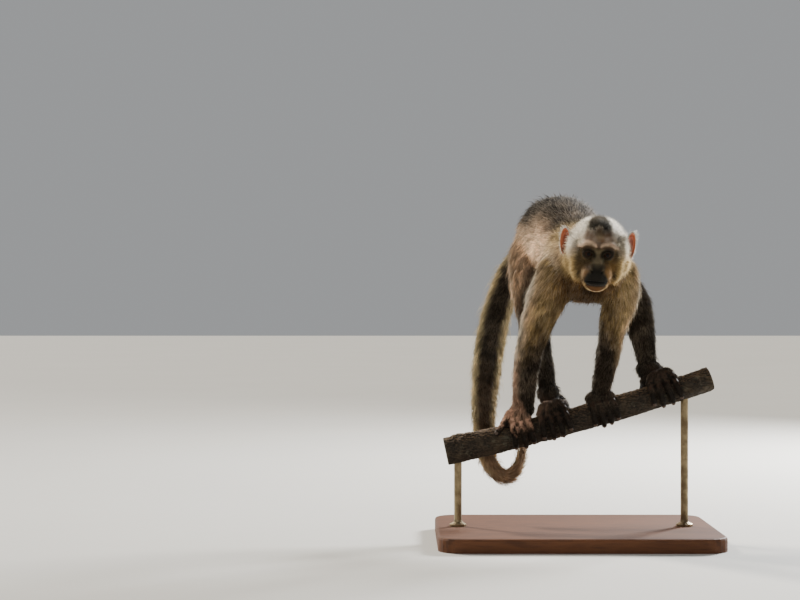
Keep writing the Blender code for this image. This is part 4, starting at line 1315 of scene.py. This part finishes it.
def makeFringe():                            # pale hair behind and above each ear, over its back and rim
    roots, normals, flows, lengths, charts = [], [], [], [], []
    for side in (1, -1):
        place = np.array(earMatrix(side))
        turn = np.radians(fringe["from"] + (fringe["to"] - fringe["from"]) * chance.random(fringe["count"]))
        r = 0.72 + 0.27 * np.sqrt(chance.random(fringe["count"]))
        x = -ear["half"][0] * np.sqrt(1 - (r * 0.98) ** 2)
        local = np.stack([side * x, ear["half"][1] * r * np.cos(turn), ear["half"][2] * r * np.sin(turn)],
                         axis=1)
        outward = np.stack([-side * (0.9 - 0.5 * r), np.cos(turn) * r, np.sin(turn) * r * 0.7], axis=1)
        along = np.stack([side * np.full(len(r), 0.10), np.cos(turn) - 0.35, np.sin(turn) * 0.9 + 0.15],
                         axis=1)
        along += 0.25 * chance.standard_normal(along.shape)
        outward = unit(outward @ place[:3, :3].T)
        roots.append(local @ place[:3, :3].T + place[:3, 3] + outward * 0.0004)
        along = along @ place[:3, :3].T
        normals.append(outward)
        flows.append(unit(along - outward * (along * outward).sum(1)[:, None]))
        upper = 0.55 + 0.45 * np.sin(turn).clip(0, 1)
        lengths.append(fringe["length"] * upper * (0.30 + 1.4 * chance.random(fringe["count"]) ** 4))
        charts.append(np.stack([turn / (2 * math.pi) * 0.95, r * 0.45 + (0.5 if side > 0 else 0.0)],
                               axis=1))
    count = sum(len(rows) for rows in roots)
    pale = np.tile(palette["crownSide"], (count, 1)) * (0.85 + 0.25 * chance.random((count, 1)))
    return makeLocks("coat_ears", np.concatenate(roots), np.concatenate(normals), np.concatenate(flows),
                     np.concatenate(lengths), fringe["width"] * (0.8 + 0.4 * chance.random(count)),
                     0.25 + 0.3 * chance.random(count), pale, np.minimum(pale * 1.1, 0.9),
                     np.concatenate(charts),
                     chance.random(count) < 0.1)


# Nails: a small dark curved plate on the end of each digit.

nail = {"length": 0.0042, "width": 0.0052, "thick": 0.0005, "steps": 10, "sides": 9}


def makeNails():
    points, faces = [], []
    for name, tubes in lines.items():
        if kindOf(name) not in ("hand", "foot"):
            continue
        for stations in tubes[1:]:
            if len(stations) < 5:
                continue
            (beforePlace, _), (place, radius) = stations[-2], stations[-1]
            place, beforePlace = Vector(place), Vector(beforePlace)
            along = (place - beforePlace).normalized()
            centre = perchCentre(place.x)
            away = Vector((0.0, place.y - centre.y, place.z - centre.z)).normalized()
            away = (away - along * away.dot(along)).normalized()
            across = along.cross(away)
            bare = radius - coat[kindOf(name)]["depth"][0] - coat[kindOf(name)]["depth"][1] * radius
            base = len(points)
            for layer in (0.0, 1.0):
                for i in range(nail["steps"] + 1):
                    t = i / nail["steps"]
                    taper = (math.sqrt(max(0.0, 1 - max(0.0, (t - 0.45) / 0.55) ** 2.4)) * 0.55
                             + 0.45 * (1 - t ** 6))
                    for j in range(nail["sides"]):
                        s = (j / (nail["sides"] - 1) * 2 - 1) * taper
                        bend = s * nail["width"] / 2 / bare
                        lift = (bare * 0.98 - 0.0010 * t ** 2 + nail["thick"] * (layer - 0.55)
                                + 0.00012 * (1 - t))
                        reach = -0.0012 + t * nail["length"]
                        points.append(place + along * reach + away * lift * math.cos(bend)
                                      + across * lift * math.sin(bend))
            rows, layerSize = nail["sides"], (nail["steps"] + 1) * nail["sides"]
            for layer in (0, 1):
                for i in range(nail["steps"]):
                    for j in range(nail["sides"] - 1):
                        a = base + layer * layerSize + i * rows + j
                        quad = (a, a + 1, a + rows + 1, a + rows)
                        faces.append(quad if layer else quad[::-1])
            rim = [j for j in range(rows)]
            rim += [i * rows + rows - 1 for i in range(1, nail["steps"] + 1)]
            rim += [nail["steps"] * rows + j for j in range(rows - 2, -1, -1)]
            rim += [i * rows for i in range(nail["steps"] - 1, 0, -1)]
            for a, b in zip(rim, rim[1:] + rim[:1]):
                faces.append((base + b, base + a, base + layerSize + a, base + layerSize + b))
    mesh = bpy.data.meshes.new("nails")
    mesh.from_pydata([tuple(point) for point in points], [], faces)
    mesh.shade_smooth()
    obj = bpy.data.objects.new("nails", mesh)
    bpy.context.scene.collection.objects.link(obj)
    return mended(obj, 1e-6)                 # the last row comes to a point


# The perch: a cut branch with furrowed bark, knots, small scars and sawn ends.

def makePerch():
    rings, sides = perch["rings"], perch["sides"]
    xs = perch["left"] + (perch["right"] - perch["left"]) * np.linspace(0, 1, rings + 1)
    degrees = 360.0 * np.arange(sides) / sides
    centre = np.stack([xs, 0 * xs, perchHeight(xs)], axis=1)
    along = unit(np.stack([np.ones_like(xs), 0 * xs, perch["slope"] + 2 * perch["bow"] * xs], axis=1))
    front = np.array((0.0, -1.0, 0.0))
    above = unit(np.cross(np.tile(front, (len(xs), 1)), along))
    angle = np.radians(degrees)
    outward = np.cos(angle)[None, :, None] * above[:, None] + np.sin(angle)[None, :, None] * front
    radius = (perch["radius"] - perch["taper"] * xs)[:, None]
    grid = centre[:, None] + outward * radius[:, :, None]
    flat = grid.reshape(-1, 3)
    twist = flat.copy()
    twist[:, 1] += 0.0016 * wander(flat, 0.02)
    long = twist * np.array((0.28, 1.0, 1.0))
    ridge = 1 - np.abs(wander(long, 0.0024))
    ridge2 = 1 - np.abs(wander(long + 5, 0.0012))
    plates = wander(flat * np.array((0.55, 1, 1)) + 2, 0.0065)
    cross = bell(wander(flat * np.array((1.0, 0.35, 0.35)) + 8, 0.0050), 0.07)
    relief = perch["furrow"] * (ridge ** 2 - 0.75) * 0.8 + 0.00035 * (ridge2 - 0.6) + 0.00045 * plates
    relief -= perch["crack"] * 0.45 * cross * (plates > -0.2)
    relief += 0.0006 * wander(flat, 0.024)
    relief = relief.reshape(rings + 1, sides)
    for knotX, knotDegrees, height in perch["knots"]:
        facing = np.maximum(0, np.cos(np.radians(degrees - knotDegrees)))[None]
        spot = np.exp(-((xs - knotX) / perch["knotReach"]) ** 2)[:, None]
        reach = np.hypot((xs - knotX)[:, None],
                         radius * np.radians((degrees - knotDegrees + 180) % 360 - 180)[None])
        relief += height * facing ** 2 * spot
        relief -= 0.0016 * bell(reach, 0.0034) - 0.0006 * bell(reach - 0.0055, 0.0016)
    endShare = np.minimum(xs - perch["left"], perch["right"] - xs) / perch["chamfer"]
    relief -= perch["chamfer"] * 0.8 * (1 - np.clip(endShare, 0, 1))[:, None] ** 2
    grid = grid + outward * relief[:, :, None]
    points = [grid.reshape(-1, 3)]
    faces = []
    i, j = np.meshgrid(np.arange(rings), np.arange(sides), indexing="ij")
    a, b = i * sides + j, i * sides + (j + 1) % sides
    faces.append(np.stack([a, b, b + sides], axis=-1).reshape(-1, 3))
    faces.append(np.stack([a, b + sides, a + sides], axis=-1).reshape(-1, 3))
    barkCount = sum(len(rows) for rows in faces)
    total = len(points[0])
    for end in (0, 1):                       # sawn ends, slightly dished, with a check or two
        row = rings if end else 0
        rim = grid[row]
        inward = -along[row] if end else along[row]
        before = row * sides + np.arange(sides)
        for k in range(1, 13):
            share = 1 - k / 12.5
            ring = centre[row] + (rim - centre[row]) * share
            dish = 0.00018 * math.sin(k * 2.1) + 0.0002
            check = 0.0011 * bell((angle - 1.1 - end) % (2 * math.pi) - 0.2, 0.10) * bell(share - 0.7, 0.5)
            check += 0.0008 * bell((angle - 4.0 - end) % (2 * math.pi) - 0.2, 0.08) * bell(share - 0.6, 0.4)
            ring = ring + inward * (dish + check)[:, None]
            points.append(ring)
            these = total + np.arange(sides)
            total += sides
            nextBefore, nextThese = np.roll(before, -1), np.roll(these, -1)
            pair = [np.stack([before, nextBefore, nextThese], 1), np.stack([before, nextThese, these], 1)]
            faces += [rows if end else rows[:, ::-1] for rows in pair]
            before = these
        points.append((centre[row] + inward * 0.0003)[None])
        fan = np.stack([before, np.roll(before, -1), np.full(sides, total)], 1)
        total += 1
        faces.append(fan if end else fan[:, ::-1])
    points, faces = np.vstack(points), np.vstack(faces)
    obj = meshFromArrays("bark_perch", points, faces)
    index = np.zeros(len(faces), np.int32)
    index[barkCount:] = 1
    obj.data.polygons.foreach_set("material_index", index)
    bm = bmesh.new()
    bm.from_mesh(obj.data)
    bmesh.ops.recalc_face_normals(bm, faces=bm.faces)
    rimEdges = [edge for edge in bm.edges if len({face.material_index for face in edge.link_faces}) > 1]
    for edge in rimEdges:
        edge.smooth = False
    bm.to_mesh(obj.data)
    bm.free()
    return obj


eyes = [makeEye(side) for side in (1, -1)]
ears = [makeEar(side) for side in (1, -1)]
earFringe = makeFringe()
nails = makeNails()
branch = makePerch()
say("eyes, ears, nails and perch")


# Finishes.

def furFinish():
    fur = Finish("fur", Roughness=0.78, Specular_IOR_Level=0.08)
    paint = fur.paint("coatColour")
    streak = fur.noise(fur.place(), 900.0, 2.0)
    return fur.wear(Base_Color=fur.mix(0.55, paint, fur.mix(streak, (0.55, 0.53, 0.50), (1.0, 0.98, 0.94)),
                                       "MULTIPLY"))


def skinFinish():
    hide = Finish("hide", Specular_IOR_Level=0.10, Subsurface_Weight=0.06, Subsurface_Scale=0.002)
    where = hide.place()
    paint = hide.paint("coatColour")
    mottle = hide.noise(where, 260.0, 5.0, 0.65)
    pores = hide.node("ShaderNodeTexVoronoi", {"feature": "F1"}, {"Vector": where, "Scale": 1500.0})
    creases = hide.noise(hide.stretched(where, (1.0, 1.0, 2.6)), 620.0, 4.0, 0.7)
    colour = hide.mix(0.75, paint, hide.mix(mottle, (0.62, 0.56, 0.54), (1.0, 0.97, 0.92)), "MULTIPLY")
    height = hide.spread(pores, 0.0, 0.5) * 0.35 + creases * 0.65
    return hide.wear(Base_Color=colour, Roughness=0.50 + mottle * 0.22,
                     Normal=hide.bump(height, 0.45, 0.0006))


def earFinish():
    thin = Finish("thinEar", Specular_IOR_Level=0.3, Subsurface_Weight=0.10, Subsurface_Scale=0.003)
    where = thin.place()
    veins = thin.noise(where, 420.0, 5.0, 0.6)
    colour = thin.mix(0.6, thin.paint("coatColour"), thin.mix(veins, (0.66, 0.52, 0.48), (1.0, 0.98, 0.94)),
                      "MULTIPLY")
    return thin.wear(Base_Color=colour, Roughness=0.42 + veins * 0.15,
                     Normal=thin.bump(veins, 0.35, 0.0005))


def eyeFinish():
    glass = Finish("eyeGlass", Roughness=0.25, Specular_IOR_Level=0.04, Coat_Weight=0.12,
                   Coat_Roughness=0.03)
    threads = glass.noise(glass.place(), 1300.0, 3.0)
    return glass.wear(Base_Color=glass.mix(0.6, glass.paint("coatColour"),
                                           glass.mix(threads, (0.55, 0.5, 0.45), (1.0, 1.0, 1.0)),
                                           "MULTIPLY"))


def nailFinish():
    horn = Finish("nailHorn", Specular_IOR_Level=0.3)
    where = horn.place()
    grain = horn.noise(horn.stretched(where, (3.0, 1.0, 1.0)), 700.0, 3.0)
    return horn.wear(Base_Color=horn.mix(grain, rgb(46, 36, 31), rgb(96, 78, 66)),
                     Roughness=0.36 + grain * 0.2,
                     Normal=horn.bump(grain, 0.25, 0.0003))


def barkFinish():
    bark = Finish("bark", Specular_IOR_Level=0.25)
    where = bark.place()
    lengthways = bark.stretched(where, (0.25, 1.0, 1.0))
    fibre = bark.noise(lengthways, 900.0, 6.0, 0.7)
    broad = bark.noise(where, 55.0, 4.0, 0.6)
    fine = bark.noise(where, 420.0, 5.0, 0.7)
    crust = bark.spread(bark.noise(where, 95.0, 6.0, 0.7), 0.56, 0.66)
    pits = bark.node("ShaderNodeTexVoronoi", {"feature": "F1"}, {"Vector": lengthways, "Scale": 620.0})
    groove = bark.node("ShaderNodeNewGeometry", output=7)
    base = bark.mix(bark.spread(fibre * 0.6 + fine * 0.4, 0.38, 0.64), rgb(28, 25, 21), rgb(78, 68, 56))
    base = bark.mix(bark.spread(broad, 0.45, 0.65) * 0.35, base, rgb(104, 90, 70))
    base = bark.mix(crust * 0.30, base, rgb(122, 122, 104))
    base = bark.mix(bark.spread(groove, 0.42, 0.58), bark.mix(1.0, base, (0.36, 0.33, 0.31), "MULTIPLY"),
                    base)
    top = bark.part(bark.node("ShaderNodeNewGeometry", output=1), 2)
    base = bark.mix(bark.spread(top, 0.35, 0.95) * bark.spread(fine, 0.42, 0.60) * 0.55, base,
                    rgb(150, 118, 86))
    height = fibre * 0.55 + fine * 0.25 + bark.spread(pits, 0.0, 0.5) * 0.2
    return bark.wear(Base_Color=base, Roughness=0.78 + fine * 0.15, Normal=bark.bump(height, 0.8, 0.0012))


def sawnFinish():
    sawn = Finish("sawnWood", Specular_IOR_Level=0.3)
    where = sawn.place()
    wobble = sawn.noise(where, 60.0, 2.0)
    x, y, z = (sawn.part(where, axis) for axis in range(3))
    fromHeart = z - (x * perch["slope"] + x * x * perch["bow"] + perch["height"])
    reach = (fromHeart * fromHeart + y * y) ** 0.5
    rings = sawn.node("ShaderNodeMath", {"operation": "SINE"}, {0: (reach + wobble * 0.0016) * 3900.0})
    shade = sawn.spread(rings, -0.6, 0.9)
    pale = sawn.mix(sawn.noise(where, 500.0, 4.0), rgb(186, 152, 108), rgb(206, 176, 132))
    colour = sawn.mix(shade * 0.55, pale, rgb(140, 104, 68))
    colour = sawn.mix(sawn.spread(reach, 0.0120, 0.0150), colour, rgb(108, 80, 56))
    saw = sawn.noise(sawn.stretched(where, (1.0, 1.0, 9.0)), 260.0, 3.0)
    return sawn.wear(Base_Color=colour, Roughness=0.7 + saw * 0.15,
                     Normal=sawn.bump(saw * 0.7 + shade * 0.3, 0.3, 0.0005))


def standWood():
    oak = Finish("stainedOak", Specular_IOR_Level=0.25, Coat_Weight=0.05, Coat_Roughness=0.4)
    where = oak.place()
    lengthways = oak.stretched(where, (1.0, 9.0, 9.0))
    warp = oak.noise(oak.stretched(where, (1.0, 4.0, 4.0)), 6.0, 3.0)
    figure = oak.node("ShaderNodeTexWave", {"wave_type": "BANDS", "bands_direction": "Y"},
                      {"Vector": oak.stretched(where, (0.25, 1.0, 1.0)), "Scale": 34.0, "Distortion": 5.0,
                       "Detail": 4.0, "Detail Scale": 2.2}, 1)
    pores = oak.noise(oak.stretched(where, (0.6, 22.0, 22.0)), 60.0, 4.0, 0.7)
    fine = oak.noise(lengthways, 40.0, 6.0, 0.65)
    colour = oak.mix(oak.spread(figure * 0.25 + fine * 0.75, 0.30, 0.70), rgb(66, 39, 24), rgb(98, 60, 36))
    colour = oak.mix(oak.spread(pores, 0.56, 0.66) * 0.6, colour, rgb(34, 20, 13))
    colour = oak.mix(warp * 0.25, colour, rgb(132, 84, 50))
    return oak.wear(Base_Color=colour, Roughness=0.58 + fine * 0.16,
                    Normal=oak.bump(pores * 0.5 + fine * 0.5, 0.18, 0.0006))


def rodMetal():
    brass = Finish("agedBrass", Metallic=1.0)
    where = brass.place()
    turned = brass.noise(brass.stretched(where, (1.0, 1.0, 14.0)), 130.0, 4.0, 0.6)
    bloom = brass.noise(where, 60.0, 5.0, 0.6)
    colour = brass.mix(brass.spread(bloom, 0.35, 0.7), rgb(150, 134, 104), rgb(104, 88, 66))
    return brass.wear(Base_Color=colour, Roughness=0.28 + bloom * 0.22,
                      Normal=brass.bump(turned, 0.12, 0.0003))


def floorFinish():
    plain = Finish("paleFloor", Roughness=0.75, Specular_IOR_Level=0.2)
    cloud = plain.noise(plain.place(), 2.0, 3.0)
    return plain.wear(Base_Color=plain.mix(cloud, rgb(206, 204, 198), rgb(214, 212, 206)))


fur = furFinish()
dressed(skin, "bare_skin", skinFinish())
coatSlots = {"trunk": "coat_brown", "arm": "coat_dark", "leg": "coat_dark", "tail": "coat_dark",
             "head": "coat_pale",
             "ears": "coat_pale"}
for piece in coatPieces + [earFringe]:
    word = kindOf(piece.name.split("_")[1])
    dressed(piece, coatSlots[word], fur)
for pair, slotName, finish in ((eyes, "eye", eyeFinish()), (ears, "ear_skin", earFinish())):
    for obj in pair:
        dressed(obj, slotName, finish)
dressed(nails, "bare_skin", nailFinish())
dressed(branch, "bark", barkFinish(), sawnFinish())

fleshNodes = ["head", "neck", "trunk", "tail_root", "tail_upper", "tail_middle", "tail_lower", "tail_tip"]
for limb in ("upper_arm", "forearm", "hand", "thigh", "shank", "foot"):
    fleshNodes += [limb + "_left", limb + "_right"]
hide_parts(*fleshNodes)
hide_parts("eye_left")
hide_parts("eye_right")
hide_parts("ear_left")
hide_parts("ear_right")
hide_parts("perch_branch")

standFinish, rodFinish = standWood(), rodMetal()
for name, finish in (("stand_base", standFinish), ("stand_rod_left", rodFinish),
                     ("stand_rod_right", rodFinish)):
    node = bpy.data.objects[name]
    for materialSlot in node.material_slots:
        materialSlot.material = finish
say("finishes")


# A plain pale floor and soft studio light, with the stronger light behind and to the left.

studio = {
    "world": (0.86, 0.88, 0.90), "worldPower": 0.40,
    "lights": {                              # place, aim, size, power, colour
        "rim": ((1.35, 1.5, 1.1), (0.0, 0.0, 0.30), 0.6, 150.0, (0.98, 0.99, 1.0)),
        "front": ((-1.7, -2.0, 1.3), (0.0, 0.0, 0.30), 1.6, 8.0, (1.0, 0.97, 0.93)),
    },
    "key": {"from": (-0.62, 0.62, 0.66), "softness": 9.0, "power": 5.0, "colour": (1.0, 0.93, 0.82)},
}


def lightStudio():
    world = bpy.data.worlds.new("studio")
    world.use_nodes = True
    sky = world.node_tree.nodes["Background"]
    sky.inputs["Color"].default_value = (*studio["world"], 1.0)
    sky.inputs["Strength"].default_value = studio["worldPower"]
    bpy.context.scene.world = world
    for name, (place, aim, size, power, colour) in studio["lights"].items():
        lamp = bpy.data.lights.new(name, "AREA")
        lamp.shape = "DISK"
        lamp.size = size
        lamp.energy = power
        lamp.color = colour
        obj = bpy.data.objects.new(name, lamp)
        obj.location = place
        obj.rotation_euler = (Vector(aim) - Vector(place)).to_track_quat("-Z", "Y").to_euler()
        bpy.context.scene.collection.objects.link(obj)
    key = studio["key"]
    lamp = bpy.data.lights.new("key", "SUN")
    lamp.angle = math.radians(key["softness"])
    lamp.energy = key["power"]
    lamp.color = key["colour"]
    obj = bpy.data.objects.new("key", lamp)
    obj.rotation_euler = Vector(key["from"]).to_track_quat("Z", "Y").to_euler()
    bpy.context.scene.collection.objects.link(obj)
    bm = bmesh.new()
    bmesh.ops.create_grid(bm, x_segments=4, y_segments=4, size=14.0)
    floor = objectFrom(bm, "floor")
    floor.data.materials.append(floorFinish())


lightStudio()
